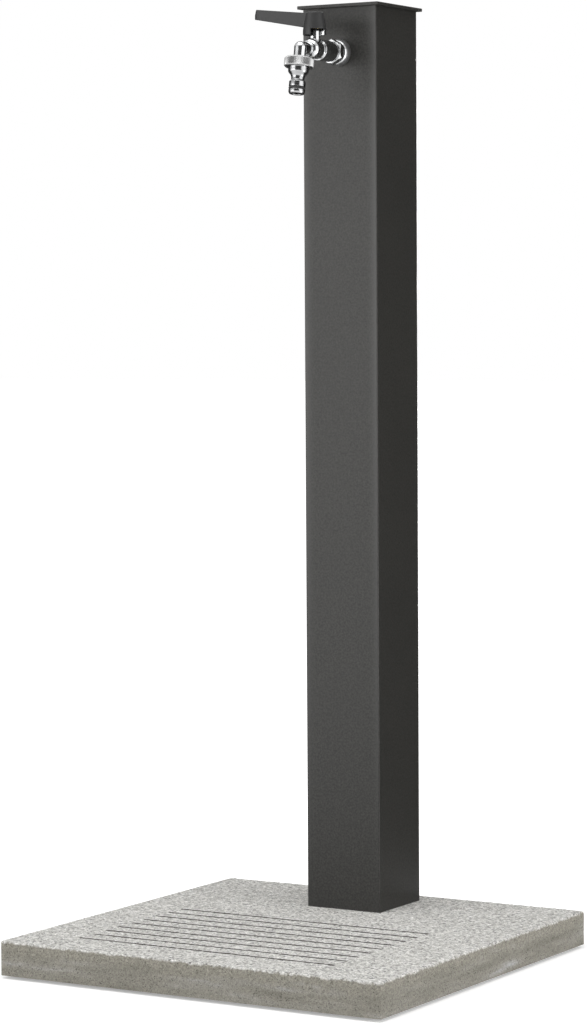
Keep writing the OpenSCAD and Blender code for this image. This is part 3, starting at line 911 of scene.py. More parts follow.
@dataclass(frozen=True)
class Flag:
    """Dark cloth beside the object, which gives polished metal its contrast."""

    name: str
    tone: float
    hem: float
    radius: float
    height: float
    bearings: Pair
    lift: float = 1.0
    columns: int = 40

    def build(self) -> bpy.types.Object:
        """Makes the cloth.

        It lies just above the floor from its hem outwards and then hangs upright.
        That section is carried round the object from one bearing to another.

        Returns:
            The cloth, which only mirror rays see.
        """
        section = np.array([
            (self.lift, self.hem),
            (self.lift, self.radius),
            (self.height, self.radius),
        ])
        upright = Axis((0.0, 0.0, 0.0), (0.0, 0.0, 1.0))
        surface = Surface(self.name)
        surface.grid(upright.spin(section, angles(*self.bearings, self.columns)))
        piece = surface.build()
        graph = NodeGraph(f"{self.name}_cloth")
        graph.dress(Base_Color=grey(self.tone), Roughness=1.0, Specular_IOR_Level=0.0)
        piece.data.materials.append(graph.material)
        piece.visible_camera = False
        piece.visible_diffuse = False
        piece.visible_shadow = False
        piece.visible_transmission = False
        return piece


@dataclass
class Studio:
    """White room with soft lamps, dark flags and a pale floor."""

    ambient: float = 0.5
    floor_reach: float = 30000.0
    floor_albedo: float = 0.8
    floor_glow: Pair = (0.34, 0.8)
    floor_rise: Pair = (0.3, 0.8)
    flags: tuple[Flag, ...] = (
        Flag("front_flag", 0.12, hem=3400.0, radius=3600.0, height=3600.0, bearings=(-98.0, -24.0)),
        Flag("side_flag", 0.01, hem=420.0, radius=1300.0, height=2600.0, bearings=(36.0, 72.0)),
        Flag("back_flag", 0.06, hem=400.0, radius=1310.0, height=1350.0, bearings=(72.0, 196.0)),
    )
    lamps: tuple[Softbox, ...] = (
        Softbox("left_softbox", (-1.6, -2.6, 0.95), (0.0, 0.1, 0.6), (2.4, 1.5), 39.0),
        Softbox("right_softbox", (3.0, -0.1, 1.1), (0.0, 0.1, 0.4), (2.8, 2.0), 26.0),
        Softbox("top_softbox", (0.0, -0.8, 3.0), (0.0, -0.3, 0.0), (2.4, 2.4), 57.0),
        Softbox("low_softbox", (1.35, 0.15, 0.2), (0.2, -0.05, 0.02), (0.5, 0.25), 4.6),
        Softbox("rear_softbox", (0.42, 2.2, 2.05), (0.0, 0.05, 0.85), (1.1, 0.7), 4.0),
        Softbox("back_strip", (-0.006, 1.3, 0.56), (-0.006, 0.17, 0.56), (0.06, 0.7), 0.2, spread=16.0),
    )

    @staticmethod
    def seen(tree: NodeTree) -> Socket:
        """Gives 1 for camera, mirror and glass rays and 0 for the others.

        Args:
            tree: Material or world that gets the nodes.

        Returns:
            The socket that carries the answer.
        """
        path = tree.add("LightPath")
        most = path.outputs["Is Camera Ray"]
        for name in ("Is Glossy Ray", "Is Transmission Ray"):
            most = tree.maths("MAXIMUM", most, path.outputs[name])
        return most

    def world(self) -> None:
        """Makes a white surround that lights the object at a lower level."""
        world = bpy.data.worlds.new("studio")
        bpy.context.scene.world = world
        tree = NodeTree(world)
        back = tree.nodes["Background"]
        tree.feed(back.inputs["Color"], grey(1.0))
        tree.feed(back.inputs["Strength"], tree.span(self.seen(tree), 0.0, 1.0, (self.ambient, 1.0)))

    def floor(self) -> bpy.types.Object:
        """Makes the floor: white to the eye, yet dimmed where the part keeps light off.

        It is a flat sheet whose glow rises with the distance from the middle.

        Returns:
            The floor, which isn't part of the object.
        """
        sides = np.linspace(-self.floor_reach, self.floor_reach, 3)
        x, y = np.meshgrid(sides, sides)
        surface = Surface("floor")
        surface.grid(np.stack([x, y, np.zeros_like(x)], axis=-1))
        piece = surface.build()
        graph = NodeGraph("floor_paint")
        away = graph.add("VectorMath", {0: graph.place}, operation="LENGTH").outputs["Value"]
        glow = graph.span(away, *self.floor_rise, self.floor_glow)
        graph.dress(
            Base_Color=grey(self.floor_albedo),
            Roughness=1.0,
            Specular_IOR_Level=0.0,
            Emission_Color=grey(1.0),
            Emission_Strength=graph.maths("MULTIPLY", self.seen(graph), glow),
        )
        piece.data.materials.append(graph.material)
        return piece

    def build(self) -> None:
        """Sets the view transform and makes the whole room."""
        bpy.context.scene.view_settings.view_transform = "Standard"
        Viewpoint().build()
        self.world()
        self.floor()
        for flag in self.flags:
            flag.build()
        for lamp in self.lamps:
            lamp.build()


# The part


def dress_nodes() -> None:
    """Gives every solid of the frame the finish of its record slot."""
    for row in frame["record"]["subparts"]:
        piece = frame["nodes"][row["node"]]
        piece.data.materials.clear()
        piece.data.materials.append(FINISHES[row["material_slot"]].material())
        LOG.info("%s: %s finish", row["node"], row["material_slot"])


def stand_in(piece: bpy.types.Object, node: str, body: str, slots: Sequence[str]) -> None:
    """Puts a finished piece in the place of a solid.

    Args:
        piece: The new piece.
        node: Solid that it stands for.
        body: Body that it moves with.
        slots: Names of its finishes, first the one that is the record's slot.
    """
    for slot in slots:
        piece.data.materials.append(FINISHES[slot].material())
    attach(piece, body)
    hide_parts(node)
    LOG.info("%s: stands for %s on %s", piece.name, node, body)


@dataclass
class Piece:
    """New piece that is worked out as surfaces and takes the place of a solid."""

    name: str
    node: str
    body: str
    slots: tuple[str, ...]
    sharp: float
    join: float = 1e-6
    level: float = 0.0

    def fill(self, surface: Surface) -> None:
        """Adds the piece's grids to its surface."""
        raise NotImplementedError

    def refine(self, piece: bpy.types.Object) -> None:
        """Works on the finished mesh where the piece needs it."""

    def build(self) -> bpy.types.Object:
        """Makes the piece and puts it in the place of its solid.

        Returns:
            The finished piece.
        """
        surface = Surface(self.name)
        self.fill(surface)
        piece = surface.build(self.sharp, self.join, self.level)
        self.refine(piece)
        stand_in(piece, self.node, self.body, self.slots)
        return piece


@dataclass
class WashedSlab(Piece):
    """Cast slab with drain slots, a washed top and four anchor holes."""

    half: float = 200.0
    low: float = 3.0
    top: float = 35.0
    corner: float = 2.5
    bevel: float = 1.5
    step: float = 2.3
    slot_ends: Pair = (-145.0, 127.0)
    slot_rows: tuple[float, ...] = tuple(-151.5 + 21.5 * row for row in range(9))
    slot_half: float = 1.5
    slot_ragged: float = 1.2
    slot_even: float = 0.28
    slot_lip: float = 1.2
    crumb: float = 3.0
    anchor_columns: Pair = (-30.0, 18.0)
    anchor_rows: Pair = (110.0, 158.0)
    anchor_block: float = 12.0
    hole_r: float = 4.3
    recess_r: float = 10.0
    recess_top: float = 11.88
    sand: float = 2.6
    sand_share: float = 0.75
    gravel: float = 6.5
    relief: float = 0.4
    wash_reach: float = 6.0
    slot_wash: float = 0.2
    chip: float = 0.6
    chip_size: float = 4.0
    chip_span: Pair = (0.45, 0.95)
    # Rows of the upper edge: drop, inset and share of the chips
    brink: tuple[tuple[float, ...], ...] = ((0.45, 0.6, 1.0), (1.5, 0.0, 0.8), (3.0, 0.0, 0.3))
    # Rows of the cast face: gap to the top, gap to the underside and number
    wall: tuple[float, float, int] = (6.0, 1.0, 8)
    dent: float = 0.35
    dent_size: float = 7.0
    dent_span: Pair = (0.55, 0.95)

    def __post_init__(self) -> None:
        """Rules the lattice through every edge of the slab."""
        ends = [-self.half, self.corner - self.half, self.half - self.corner, self.half]
        blocks = (-self.anchor_block, self.anchor_block)
        across = (column + side for column in self.anchor_columns for side in blocks)
        deep = (row + side for row in self.anchor_rows for side in blocks)
        edges = (row + side for row in self.slot_rows for side in (-self.slot_half, self.slot_half))
        self.x = ruled([*ends, *self.slot_ends, *across], self.step)
        self.y = ruled([*ends, *edges, *deep], self.step)
        self.lattice = np.stack(np.meshgrid(self.x, self.y), axis=-1)

    def outline(self, flat: Array, inset: Array | float) -> Array:
        """Rounds the lattice's corners and draws it in.

        In a corner, the shares u and v across the corner's square become
        u sqrt(1 - v^2 / 2) and v sqrt(1 - u^2 / 2) of the corner's radius.

        Args:
            flat: Places on the lattice.
            inset: How far the rim is drawn in.

        Returns:
            The rounded places.
        """
        limit = self.half - self.corner
        share = np.clip((np.abs(flat) - limit) / self.corner, 0.0, 1.0)
        shrunk = share * np.sqrt(1.0 - share[..., ::-1] ** 2 / 2.0)
        radius = self.corner - np.asarray(inset)[..., None]
        return np.sign(flat) * (np.minimum(np.abs(flat), limit) + radius * shrunk)

    def raised(self, flat: Array) -> Array:
        """Gives the washed top's height: stones of two sizes, less wash by column and slots.

        The top loses relief times wash times 1 less the stones. The stones are a
        weighted sum of fine and coarse lumps. The wash falls to nothing at the
        column and to a small share at the slots.

        Args:
            flat: Places on the top.

        Returns:
            The height of each place.
        """
        stones = self.sand_share * lumps(flat, self.sand, Seed.SAND)
        stones += (1.0 - self.sand_share) * lumps(flat, self.gravel, Seed.GRAVEL)
        beyond = np.abs(flat - np.array(COLUMN_MIDDLE)).max(-1) - COLUMN_HALF
        aside = np.maximum(self.slot_ends[0] - flat[..., 0], flat[..., 0] - self.slot_ends[1])
        rows = np.abs(flat[..., 1:] - np.array(self.slot_rows)).min(-1) - self.slot_half
        off_slots = ease(np.maximum(aside, rows), 0.0, self.wash_reach)
        wash = self.slot_wash + (1.0 - self.slot_wash) * off_slots
        wash = ease(beyond, 0.0, self.wash_reach) * wash
        return self.top - self.relief * wash * (1.0 - stones)

    def upper(self) -> Array:
        """Gives the top's points, with ragged edges along the slots.

        On a slot's rim a place moves away from the slot by slot_ragged times the
        value of the lumps less slot_even.

        Returns:
            The top's grid of places.
        """
        flat = self.outline(self.lattice, self.bevel)
        within = (flat[..., 0] >= self.slot_ends[0]) & (flat[..., 0] <= self.slot_ends[1])
        crumbled = self.slot_ragged * (lumps(self.lattice, self.crumb, Seed.CRUMBS) - self.slot_even)
        for row in self.slot_rows:
            side = flat[..., 1] - row
            rim = within & (np.abs(np.abs(side) - self.slot_half) < NEAR)
            flat[..., 1] += np.where(rim, np.sign(side) * crumbled, 0.0)
        return np.concatenate([flat, self.raised(flat)[..., None]], axis=-1)

    def lower(self) -> Array:
        """Gives the level points of the underside."""
        return lifted(self.outline(self.lattice, 0.0), self.low)

    def window(self, x0: float, x1: float, y0: float, y1: float) -> tuple[slice, slice]:
        """Gives the lattice's rows and columns between two corners.

        Args:
            x0: Left end.
            x1: Right end.
            y0: Front end.
            y1: Rear end.

        Returns:
            The rows and the columns as slices.
        """
        rows = np.flatnonzero((self.y > y0 - NEAR) & (self.y < y1 + NEAR))
        columns = np.flatnonzero((self.x > x0 - NEAR) & (self.x < x1 + NEAR))
        return slice(rows[0], rows[-1] + 1), slice(columns[0], columns[-1] + 1)

    @staticmethod
    def loop(points: Array) -> Array:
        """Gives the points round the rim of a grid, in order."""
        return np.concatenate([points[0, :-1], points[:-1, -1], points[-1, :0:-1], points[:0:-1, 0]])

    def side_rows(self, upper: Array, lower: Array) -> Array:
        """Gives the outer wall: a chipped edge above a rough cast face.

        At each level the rim's outline is drawn in by chips or dents, which are
        the eased upper values of a field of lumps.

        Args:
            upper: Grid of the top.
            lower: Grid of the underside.

        Returns:
            Rows of places, from the top's rim down to the underside's.
        """
        rim = self.loop(self.lattice)
        rows = [self.loop(upper)]
        for drop, inset, rough in self.brink:
            chips = ease(lumps(lifted(rim, drop), self.chip_size, Seed.CHIPS), *self.chip_span)
            flat = self.outline(rim, inset + self.chip * rough * chips)
            rows.append(lifted(flat, self.top - drop))
        below, above, count = self.wall
        for level in np.linspace(self.top - below, self.low + above, count):
            dents = ease(lumps(lifted(rim, level), self.dent_size, Seed.DENTS), *self.dent_span)
            rows.append(lifted(self.outline(rim, self.dent * dents), level))
        return np.stack([*rows, self.loop(lower)])

    def anchor_rows_of(self, upper: Array, lower: Array, x: float, y: float) -> Array:
        """Gives one anchor's way: square rim, hole, step, recess and square rim.

        Every place of the lower rim has its own angle round the anchor, and the
        circles of hole and recess have their places at these angles.

        Args:
            upper: Part of the top's grid round the anchor.
            lower: The same part of the underside's grid.
            x: Place of the anchor from left to right.
            y: Place of the anchor from front to rear.

        Returns:
            Rows of places, from the top down to the underside.
        """
        start, end = self.loop(upper), self.loop(lower)
        angle = np.arctan2(end[:, 1] - y, end[:, 0] - x)
        upright = Axis((x, y, 0.0), (0.0, 0.0, 1.0))
        rings = (
            (self.top, self.hole_r),
            (self.recess_top, self.hole_r),
            (self.recess_top, self.recess_r),
            (self.low, self.recess_r),
        )
        return np.stack([start, *upright.spin(np.array(rings), angle), end])

    def fill(self, surface: Surface) -> None:
        """Adds the sheets of top and underside, the ways through them and the outer wall.

        Args:
            surface: Surface that gets the grids.
        """
        upper, lower = self.upper(), self.lower()
        keep = np.ones((len(self.y) - 1, len(self.x) - 1), bool)
        holes = [
            self.window(*self.slot_ends, row - self.slot_half, row + self.slot_half)
            for row in self.slot_rows
        ]
        for rows, columns in holes:
            above, below = self.loop(upper[rows, columns]), self.loop(lower[rows, columns])
            between = below + np.array((0.0, 0.0, self.top - self.low - self.slot_lip))
            # Both rows of slot wall take the second finish, the dark slot-wall colour
            surface.grid(np.stack([above, between, below]), round_rows=True, finish=np.ones(2, int))
        for x in self.anchor_columns:
            for y in self.anchor_rows:
                size = self.anchor_block
                rows, columns = self.window(x - size, x + size, y - size, y + size)
                way = self.anchor_rows_of(upper[rows, columns], lower[rows, columns], x, y)
                surface.grid(way, round_rows=True)
                holes.append((rows, columns))
        for rows, columns in holes:
            keep[rows.start : rows.stop - 1, columns.start : columns.stop - 1] = False
        surface.grid(upper, keep=keep)
        surface.grid(lower, keep=keep)
        surface.grid(self.side_rows(upper, lower), round_rows=True)


# Axes of the tap's barrel and of its leaning spout
BARREL = Axis((-6.0, 94.0, 855.0), (0.0, -1.0, 0.0))
SPOUT_LEAN = math.radians(10.0)
SPOUT = Axis((-6.0, 22.0, 855.0), (0.0, -math.sin(SPOUT_LEAN), -math.cos(SPOUT_LEAN)))


@dataclass
class HosePlug(Piece):
    """Connector that is screwed to the spout: knurled ring and push-fit plug."""

    axis: Axis = SPOUT
    ring_low: float = 10.0
    ring_high: float = 19.1
    ring_r: float = 14.0
    ring_bevel: float = 1.2
    ribs: int = 60
    rib_columns: int = 6
    rib_deep: float = 0.45
    rib_share: float = 0.8
    rib_skin: float = 0.1
    ring_margin: float = 0.3
    thread_r: float = 10.45
    seat: float = 17.1
    shoulder_r: float = 9.7
    shoulder_high: float = 23.6
    neck_r: float = 6.3
    neck: Pair = (27.3, 31.4)
    rim_slope: float = 1.1
    rim_r: float = 7.8
    groove: Pair = (37.5, 40.1)
    groove_r: float = 6.1
    tip: float = 44.1
    tip_slope: Pair = (1.6, 0.9)
    bore_r: float = 4.8
    bore_bevel: float = 0.5

    def outline(self) -> Array:
        """Gives the section, from the ring's mouth round the tip and back.

        Returns:
            Distances along the spout's axis and radii, row by row.
        """
        return softened([
            (self.ring_low, self.thread_r, 0.2),
            (self.ring_low, self.ring_r - self.ring_bevel, 0.5),
            (self.ring_low + self.ring_bevel, self.ring_r, 0.3),
            (self.ring_high - self.ring_bevel, self.ring_r, 0.3),
            (self.ring_high, self.ring_r - self.ring_bevel, 0.5),
            (self.ring_high, self.shoulder_r, 0.6),
            (self.shoulder_high, self.shoulder_r, 1.4),
            (self.neck[0], self.neck_r, 1.8),
            (self.neck[1], self.neck_r, 0.7),
            (self.neck[1] + self.rim_slope, self.rim_r, 0.6),
            (self.groove[0], self.rim_r, 0.35),
            (self.groove[0], self.groove_r, 0.2),
            (self.groove[1], self.groove_r, 0.2),
            (self.groove[1], self.rim_r, 0.35),
            (self.tip - self.tip_slope[0], self.rim_r, 0.6),
            (self.tip, self.rim_r - self.tip_slope[1], 0.3),
            (self.tip, self.bore_r + self.bore_bevel, 0.3),
            (self.tip - self.bore_bevel, self.bore_r, 0.3),
            (self.seat, self.bore_r, 0.2),
            (self.seat, self.thread_r, 0.2),
        ])

    def fill(self, surface: Surface) -> None:
        """Turns the section round the spout and presses ribs into the ring.

        The radius loses rib_deep times (1 - cos(ribs a)) / 2 on the ring's
        outer band, at the angle a.

        Args:
            surface: Surface that gets the grid.
        """
        section = self.outline()
        distance, radius, angle = spread(section, circle(self.rib_columns * self.ribs))
        low, high = self.ring_r - self.rib_share * self.ring_bevel, self.ring_r - self.rib_skin
        band = ease(section[:, 1:], low, high)
        radius = radius - band * self.rib_deep * (1.0 - np.cos(self.ribs * angle)) / 2.0
        before = section[:-1, 0] < self.ring_high - self.ring_margin
        on_ring = before & (section[:-1, 1] > self.thread_r)
        grid = self.axis.turn(distance, radius, angle)
        # Cells off the ring take the second finish, the chrome darkened with painted shade
        surface.grid(grid, round_rows=True, finish=np.where(on_ring, 0, 1))


@dataclass
class TapBody(Piece):
    """Plated tap body: barrel, waist, spout arm, elbow, stem boss and stop lug."""

    barrel: Axis = BARREL
    stem: Axis = Axis((-6.0, 48.5, 855.0), (0.0, 0.0, 1.0))
    spout: Axis = SPOUT
    foot: float = 17.0
    barrel_r: float = 10.0
    barrel_end: float = 40.65
    waist_r: float = 8.6
    rim_r: float = 9.8
    rim: Pair = (51.15, 53.35)
    front: float = 58.85
    sleeve_r: float = 8.55
    nose: float = 38.45
    cavity_r: float = 7.55
    cavity_end: float = 52.55
    way_r: float = 4.2
    arm_r: float = 5.7
    elbow: float = 72.0
    elbow_r: float = 5.9
    pipe_r: float = 5.8
    pipe_start: float = 1.4
    collar: float = 10.4
    thread_r: float = 10.4
    pipe_end: float = 15.1
    pipe_way_r: float = 4.4
    boss_r: float = 5.1
    boss_top: float = 19.2
    flare_r: float = 6.5
    flare_top: float = 10.6
    packing: Pair = (11.15, 4.0)
    stem_way: Pair = (9.55, 2.85)
    collar_way_r: float = 3.65
    lug_plan: tuple[Pair, ...] = ((4.2, 1.6), (9.0, 1.6), (9.0, 4.8), (1.0, 4.8))
    lug: Pair = (13.2, 18.6)
    lug_soft: float = 0.7
    # Rows at either end of the lug: way in from the end and share of the plan
    lug_ends: tuple[Pair, ...] = ((0.0, 0.0), (0.0, 0.86), (0.15, 0.96), (0.5, 1.0))
    bevel: float = 0.5
    rim_bevel: float = 0.3
    thread_bevel: float = 0.4
    boss_soft: float = 0.15
    oval_bend: Pair = (0.0, 80.0)
    oval_rows: int = 9
    oval_soft: float = 0.6
    dome_rows: int = 16
    flare_rows: int = 10
    columns: int = 144

    def barrel_section(self) -> Array:
        """Gives the barrel: shoulder, waist, rim and oval front, then the ways inside.

        The front is part of an ellipse, at the sines and cosines of even angles.

        Returns:
            Distances along the barrel's axis and radii, row by row.
        """
        bend = angles(*self.oval_bend, self.oval_rows)
        oval = np.stack([
            self.rim[1] + (self.front - self.rim[1]) * np.sin(bend),
            self.arm_r + (self.rim_r - self.arm_r) * np.cos(bend),
            np.full_like(bend, self.oval_soft),
        ], axis=-1)
        return softened([
            (self.foot, self.sleeve_r, 0.1),
            (self.foot, self.barrel_r, 0.5),
            (self.barrel_end, self.barrel_r, 0.7),
            (self.barrel_end + self.bevel, self.waist_r, 0.5),
            (self.rim[0], self.waist_r, 0.5),
            (self.rim[0] + self.rim_bevel, self.rim_r - self.rim_bevel, 0.4),
            *oval.tolist(),
            (self.front, self.arm_r, 1.1),
            (self.elbow, self.arm_r, 0.1),
            (self.elbow, self.way_r, 0.1),
            (self.cavity_end, self.way_r, 0.1),
            (self.cavity_end, self.cavity_r, 0.1),
            (self.nose, self.cavity_r, 0.1),
            (self.nose, self.sleeve_r, 0.1),
        ])

    def spout_section(self) -> Array:
        """Gives the spout: domed elbow, pipe, threaded end and the way back up.

        The dome is a quarter circle, at the sines and cosines of even angles,
        once outside and once inside.

        Returns:
            Distances along the spout's axis and radii, row by row.
        """
        bend = angles(-90.0, 0.0, self.dome_rows)[:, None]
        arc = np.concatenate([np.sin(bend), np.cos(bend)], axis=-1)
        arc[0, 1] = 0.0
        pipe = np.array([
            (self.pipe_start, self.pipe_r),
            (self.collar - self.bevel, self.pipe_r),
            (self.collar, self.pipe_r + self.bevel),
            (self.collar, self.thread_r - self.thread_bevel),
            (self.collar + self.thread_bevel, self.thread_r),
            (self.pipe_end, self.thread_r),
            (self.pipe_end, self.pipe_way_r),
        ])
        return np.concatenate([self.elbow_r * arc, pipe, self.pipe_way_r * arc[::-1]])

    def boss_grid(self) -> Array:
        """Gives the stem's boss on the round waist.

        At the angle a, a place at radius r meets the middle of the waist's
        wall, of radius w, at the height sqrt(w^2 - (r cos a)^2). From there the
        radius falls to the boss's own with the square of the rest of the way.

        Returns:
            Rows of places from the foot outside to the foot inside.
        """
        around = circle(self.columns)
        wall = (self.waist_r + self.cavity_r) / 2.0
        foot = np.sqrt(wall**2 - (self.flare_r * np.cos(around)) ** 2)
        inside = np.sqrt(wall**2 - (self.collar_way_r * np.cos(around)) ** 2)
        share = np.linspace(0.0, 1.0, self.flare_rows)[:, None]
        flare = foot + (self.flare_top - foot) * share
        flare_r = self.boss_r + (self.flare_r - self.boss_r) * (1.0 - share) ** 2
        rings = np.array([
            (self.boss_top - self.bevel, self.boss_r),
            (self.boss_top - self.boss_soft, self.boss_r - self.boss_soft),
            (self.boss_top, self.boss_r - self.bevel),
            (self.boss_top, self.packing[1]),
            self.packing,
            (self.packing[0], self.stem_way[1]),
            self.stem_way,
            (self.stem_way[0], self.collar_way_r),
        ])
        level = np.ones_like(around)
        height = np.concatenate([flare, rings[:, :1] * level, inside[None], foot[None]])
        radius = np.concatenate([
            flare_r * level,
            rings[:, 1:] * level,
            np.full((1, self.columns), self.collar_way_r),
            np.full((1, self.columns), self.flare_r),
        ])
        return self.stem.turn(height, radius, np.broadcast_to(around, height.shape))

    def lug_grid(self) -> Array:
        """Gives the stop lug: its soft plan carried upwards, drawn in at both ends.

        A place is the plan's middle plus the level's share of the way from there
        to the plan's rim.

        Returns:
            Rows of places, from the lug's underside to its top.
        """
        low, high = self.lug
        plan = softened([(*corner, self.lug_soft) for corner in self.lug_plan], steps=6)[:-1]
        middle = np.mean(self.lug_plan, axis=0)
        inset, share = np.array(self.lug_ends).T
        rise = np.concatenate([low + inset, high - inset[::-1]])
        share = np.concatenate([share, share[::-1]])[:, None, None]
        flat = middle + share * (plan - middle)
        height = np.broadcast_to(rise[:, None, None], flat[..., :1].shape)
        return np.concatenate([flat, height], axis=-1) + np.array(self.stem.start)

    def fill(self, surface: Surface) -> None:
        """Adds barrel, spout, boss and lug.

        Args:
            surface: Surface that gets the grids.
        """
        around = circle(self.columns)
        for grid in (
            self.barrel.spin(self.barrel_section(), around),
            self.spout.spin(self.spout_section(), around),
            self.boss_grid(),
            self.lug_grid(),
        ):
            surface.grid(grid, round_rows=True)


@dataclass
class Rosette(Piece):
    """Turned bell between column and tap, with a polished lip and duller sides."""

    axis: Axis = BARREL
    way_r: float = 10.45
    foot_r: float = 12.8
    foot_rise: float = 1.8
    shoulder: Pair = (5.0, 12.35)
    brow: Pair = (7.0, 11.75)
    lip_r: float = 11.0
    deep: float = 8.0
    columns: int = 144

    def section(self) -> Array:
        """Gives the bell: foot on the column, upright side, shoulder, brow and lip.

        Returns:
            Distances along the tap's axis and radii, row by row.
        """
        return softened([
            (0.0, self.way_r, 0.1),
            (0.0, self.foot_r, 0.1),
            (self.foot_rise, self.foot_r, 1.2),
            (*self.shoulder, 1.1),
            (*self.brow, 0.6),
            (self.deep, self.lip_r, 0.3),
            (self.deep, self.way_r, 0.1),
        ])

    def fill(self, surface: Surface) -> None:
        """Turns the section round the tap's axis.

        Args:
            surface: Surface that gets the grid.
        """
        section = self.section()
        on_side = (section[:-1, 0] < self.brow[0]) & (section[:-1, 1] > self.brow[1])
        grid = self.axis.spin(section, circle(self.columns))
        surface.grid(grid, round_rows=True, finish=np.where(on_side, 1, 0))


@dataclass
class CapPlate(Piece):
    """Square plate on the column's top, with soft edges."""

    middle: Pair = COLUMN_MIDDLE
    half: float = 44.2
    low: float = 898.0
    high: float = 901.0
    corner: float = 1.2
    soft: float = 0.5
    burr: float = 0.25
    margin: float = 2.4
    steps: int = 8

    def section(self) -> Array:
        """Gives insets and heights, from the middle below round the edge to the middle above.

        The upper edge is a quarter circle: at the angle a the inset is 1 - cos a
        and the height is sin a - 1, both times soft.

        Returns:
            Insets and heights, row by row.
        """
        bend = angles(0.0, 90.0, self.steps)
        edge = np.stack([1.0 - np.cos(bend), np.sin(bend) - 1.0], axis=-1)
        below = [(self.half, 0.0), (self.margin, 0.0), (self.burr, 0.0), (0.0, self.burr)]
        above = [(self.margin, 0.0), (self.half, 0.0)]
        return np.concatenate([
            np.array(below) + (0.0, self.low),
            self.soft * edge + (0.0, self.high),
            np.array(above) + (0.0, self.high),
        ])

    def fill(self, surface: Surface) -> None:
        """Carries the section round the plate's outline.

        At an inset d, each corner is an arc of radius max(r - d, 0), whose
        middle lies max(r, d) inside the plate's two sides.

        Args:
            surface: Surface that gets the grid.
        """
        inset, height = self.section().T[..., None]
        quarter = angles(0.0, 90.0, self.steps)
        turn = np.radians(np.arange(45.0, 360.0, 90.0))
        angle = (turn[:, None] + quarter - np.radians(45.0)).ravel()
        sides = np.sign(np.stack([np.cos(turn), np.sin(turn)], axis=-1)).repeat(len(quarter), axis=0)
        reach = self.half - np.maximum(self.corner, inset)
        arc = np.maximum(self.corner - inset, 0.0)
        surface.grid(np.stack([
            self.middle[0] + sides[:, 0] * reach + arc * np.cos(angle),
            self.middle[1] + sides[:, 1] * reach + arc * np.sin(angle),
            np.broadcast_to(height, (len(height), len(angle))),
        ], axis=-1), round_rows=True)


@dataclass
class EasedSolid(Piece):
    """Solid whose edges are rounded, as moulding and plating leave them."""

    join: float = 2e-6
    level: float = 0.3
    reach: float = 0.5
    steps: int = 3

    def mark_ridges(self, mesh: bpy.types.Mesh) -> None:
        """Marks the outward edges that are to be rounded, and no inner corner.

        Args:
            mesh: Mesh of the piece.
        """
        work = bmesh.new()
        work.from_mesh(mesh)
        mark = work.edges.layers.float.new("bevel_weight_edge")
        for edge in work.edges:
            ridge = edge.is_convex and edge.calc_face_angle(0.0) > math.radians(self.sharp)
            edge[mark] = 1.0 if ridge else 0.0
        work.to_mesh(mesh)
        work.free()

    def fill(self, surface: Surface) -> None:
        """Copies the solid's triangles.

        Args:
            surface: Surface that gets the triangles.
        """
        source = frame["nodes"][self.node].data
        points = np.empty(3 * len(source.vertices))
        source.vertices.foreach_get("co", points)
        corners = np.empty(len(source.loops), np.int32)
        source.loops.foreach_get("vertex_index", corners)
        surface.points.append(points.reshape(-1, 3) / MM)
        surface.faces.append(corners.reshape(-1, 3))
        surface.finishes.append(np.zeros(len(corners) // 3, int))

    def refine(self, piece: bpy.types.Object) -> None:
        """Rounds the ridges and evens the shading of the faces between them.

        Args:
            piece: The piece with its finished mesh.
        """
        self.mark_ridges(piece.data)
        rounding = piece.modifiers.new("eased_edges", "BEVEL")
        rounding.width = self.reach * MM
        rounding.segments = self.steps
        rounding.limit_method = "WEIGHT"
        rounding.use_clamp_overlap = False
        shading = piece.modifiers.new("even_shading", "WEIGHTED_NORMAL")
        shading.mode = "FACE_AREA"
        shading.keep_sharp = True


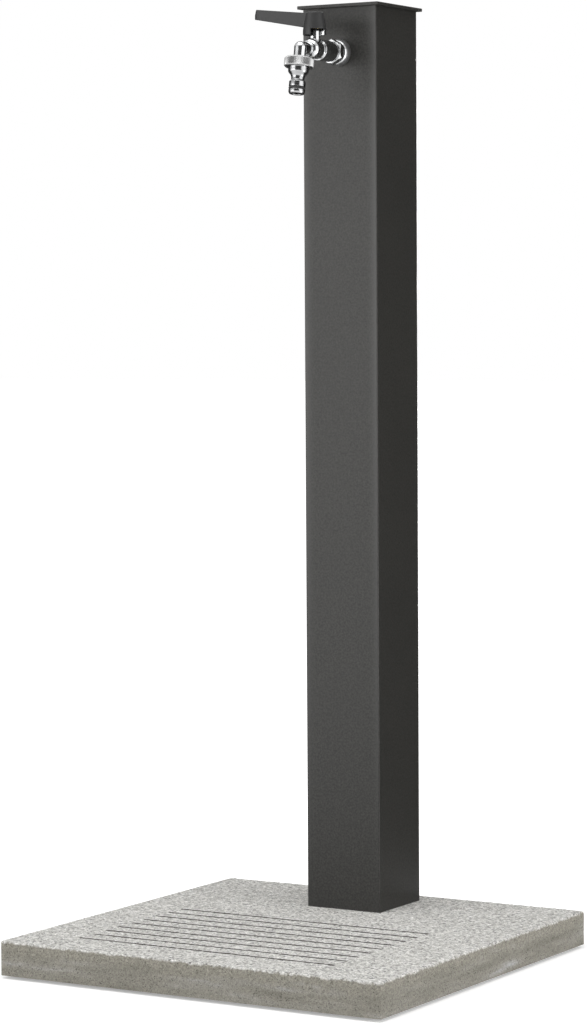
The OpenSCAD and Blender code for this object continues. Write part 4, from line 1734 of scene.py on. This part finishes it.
@dataclass
class InletElbow(Piece):
    """Brass elbow at the foot, with its screw thread outside the column."""

    arm: Axis = Axis((*COLUMN_MIDDLE, 95.0), (0.0, 1.0, 0.0))
    leg: Axis = Axis((*COLUMN_MIDDLE, 95.0), (0.0, 0.0, 1.0))
    arm_r: float = 11.2
    flange: Pair = (32.0, 36.0)
    flange_r: float = 16.0
    barrel_r: float = 12.0
    step: float = 48.0
    end: float = 63.0
    thread_r: float = 10.4
    thread_ends: Pair = (0.6, 0.8)
    thread_step: float = 0.2
    pitch: float = 1.814
    deep: float = 1.1
    wave: Pair = (0.12, 0.88)
    bevel: float = 0.5
    end_fall: float = 0.9
    way_r: float = 6.5
    knuckle_r: float = 12.4
    knuckle_bend: Pair = (-90.0, 30.0)
    knuckle_rows: int = 24
    leg_end: float = 24.0
    socket: float = 10.0
    socket_r: float = 7.55
    mouth_r: float = 9.0
    mouth_deep: float = 2.8
    columns: int = 96

    def arm_grid(self) -> Array:
        """Gives the arm, with a right-handed thread on its outer end.

        Along the thread the radius loses deep times a wave that rises and
        falls once for each pitch and moves on by one pitch for each turn.

        Returns:
            Rows of places along the arm's section.
        """
        start, stop = self.thread_ends
        thread = ruled([self.step + start, self.end - stop], self.thread_step)
        section = np.array([
            (0.0, self.way_r),
            (0.0, self.arm_r),
            (self.flange[0], self.arm_r),
            (self.flange[0], self.flange_r),
            (self.flange[1], self.flange_r),
            (self.flange[1], self.barrel_r),
            (self.step - self.bevel, self.barrel_r),
            (self.step, self.barrel_r - self.bevel),
            (self.step, self.thread_r - self.deep),
            *((place, self.thread_r) for place in thread),
            (self.end, self.thread_r - self.end_fall),
            (self.end, self.way_r + self.bevel),
            (self.end - self.bevel, self.way_r),
            (0.0, self.way_r),
        ])
        distance, radius, angle = spread(section, circle(self.columns))
        turns = (distance / self.pitch - angle / FULL_TURN) % 1.0
        wave = ease(np.abs(2.0 * turns - 1.0), *self.wave)
        cut = np.isin(section[:, :1], thread) & (section[:, 1:] == self.thread_r)
        return self.arm.turn(distance, radius - cut * self.deep * wave, angle)

    def leg_grid(self) -> Array:
        """Gives the leg: a round knuckle below, a socket for the pipe above.

        The knuckle is part of a circle, at the sines and cosines of even angles.

        Returns:
            Rows of places along the leg's section.
        """
        bend = angles(*self.knuckle_bend, self.knuckle_rows)
        knuckle = np.stack([self.knuckle_r * np.sin(bend), self.knuckle_r * np.cos(bend)], axis=-1)
        section = np.concatenate([knuckle, np.array([
            (self.leg_end, self.thread_r),
            (self.leg_end, self.mouth_r),
            (self.leg_end - self.mouth_deep, self.socket_r),
            (self.socket, self.socket_r),
            (self.socket, self.way_r),
            (-self.way_r, self.way_r),
            (-self.way_r, 0.0),
        ])])
        return self.leg.spin(section, circle(self.columns))

    def fill(self, surface: Surface) -> None:
        """Adds arm and leg."""
        surface.grid(self.arm_grid(), round_rows=True)
        surface.grid(self.leg_grid(), round_rows=True)


PIECES: tuple[Piece, ...] = (
    WashedSlab("washed_slab", "base_slab", "stand", ("concrete", "dark_slot_wall"), sharp=50.0),
    HosePlug(
        "hose_plug_turned", "hose_connector", "connector", ("satin_chrome", "shaded_plug_chrome"), sharp=35.0
    ),
    TapBody("tap_body_turned", "tap_body", "stand", ("chrome",), sharp=35.0),
    Rosette("rosette_turned", "rosette", "stand", ("chrome", "bell_chrome"), sharp=35.0),
    CapPlate("cap_plate_soft", "cap_plate", "stand", ("anthracite",), sharp=40.0),
    EasedSolid("lever_eased", "lever", "lever", ("black_plastic",), sharp=28.0, reach=0.5),
    EasedSolid("tap_tail_eased", "tap_tail", "stand", ("chrome",), sharp=28.0, reach=0.18),
    InletElbow("inlet_elbow_threaded", "inlet_elbow", "stand", ("brass",), sharp=32.0),
)


def main() -> None:
    """Builds the studio and dresses the part, piece by piece."""
    logging.basicConfig(level=logging.INFO, format="%(name)s: %(message)s")
    Studio().build()
    dress_nodes()
    for piece in PIECES:
        piece.build()


if __name__ == "__main__":
    main()
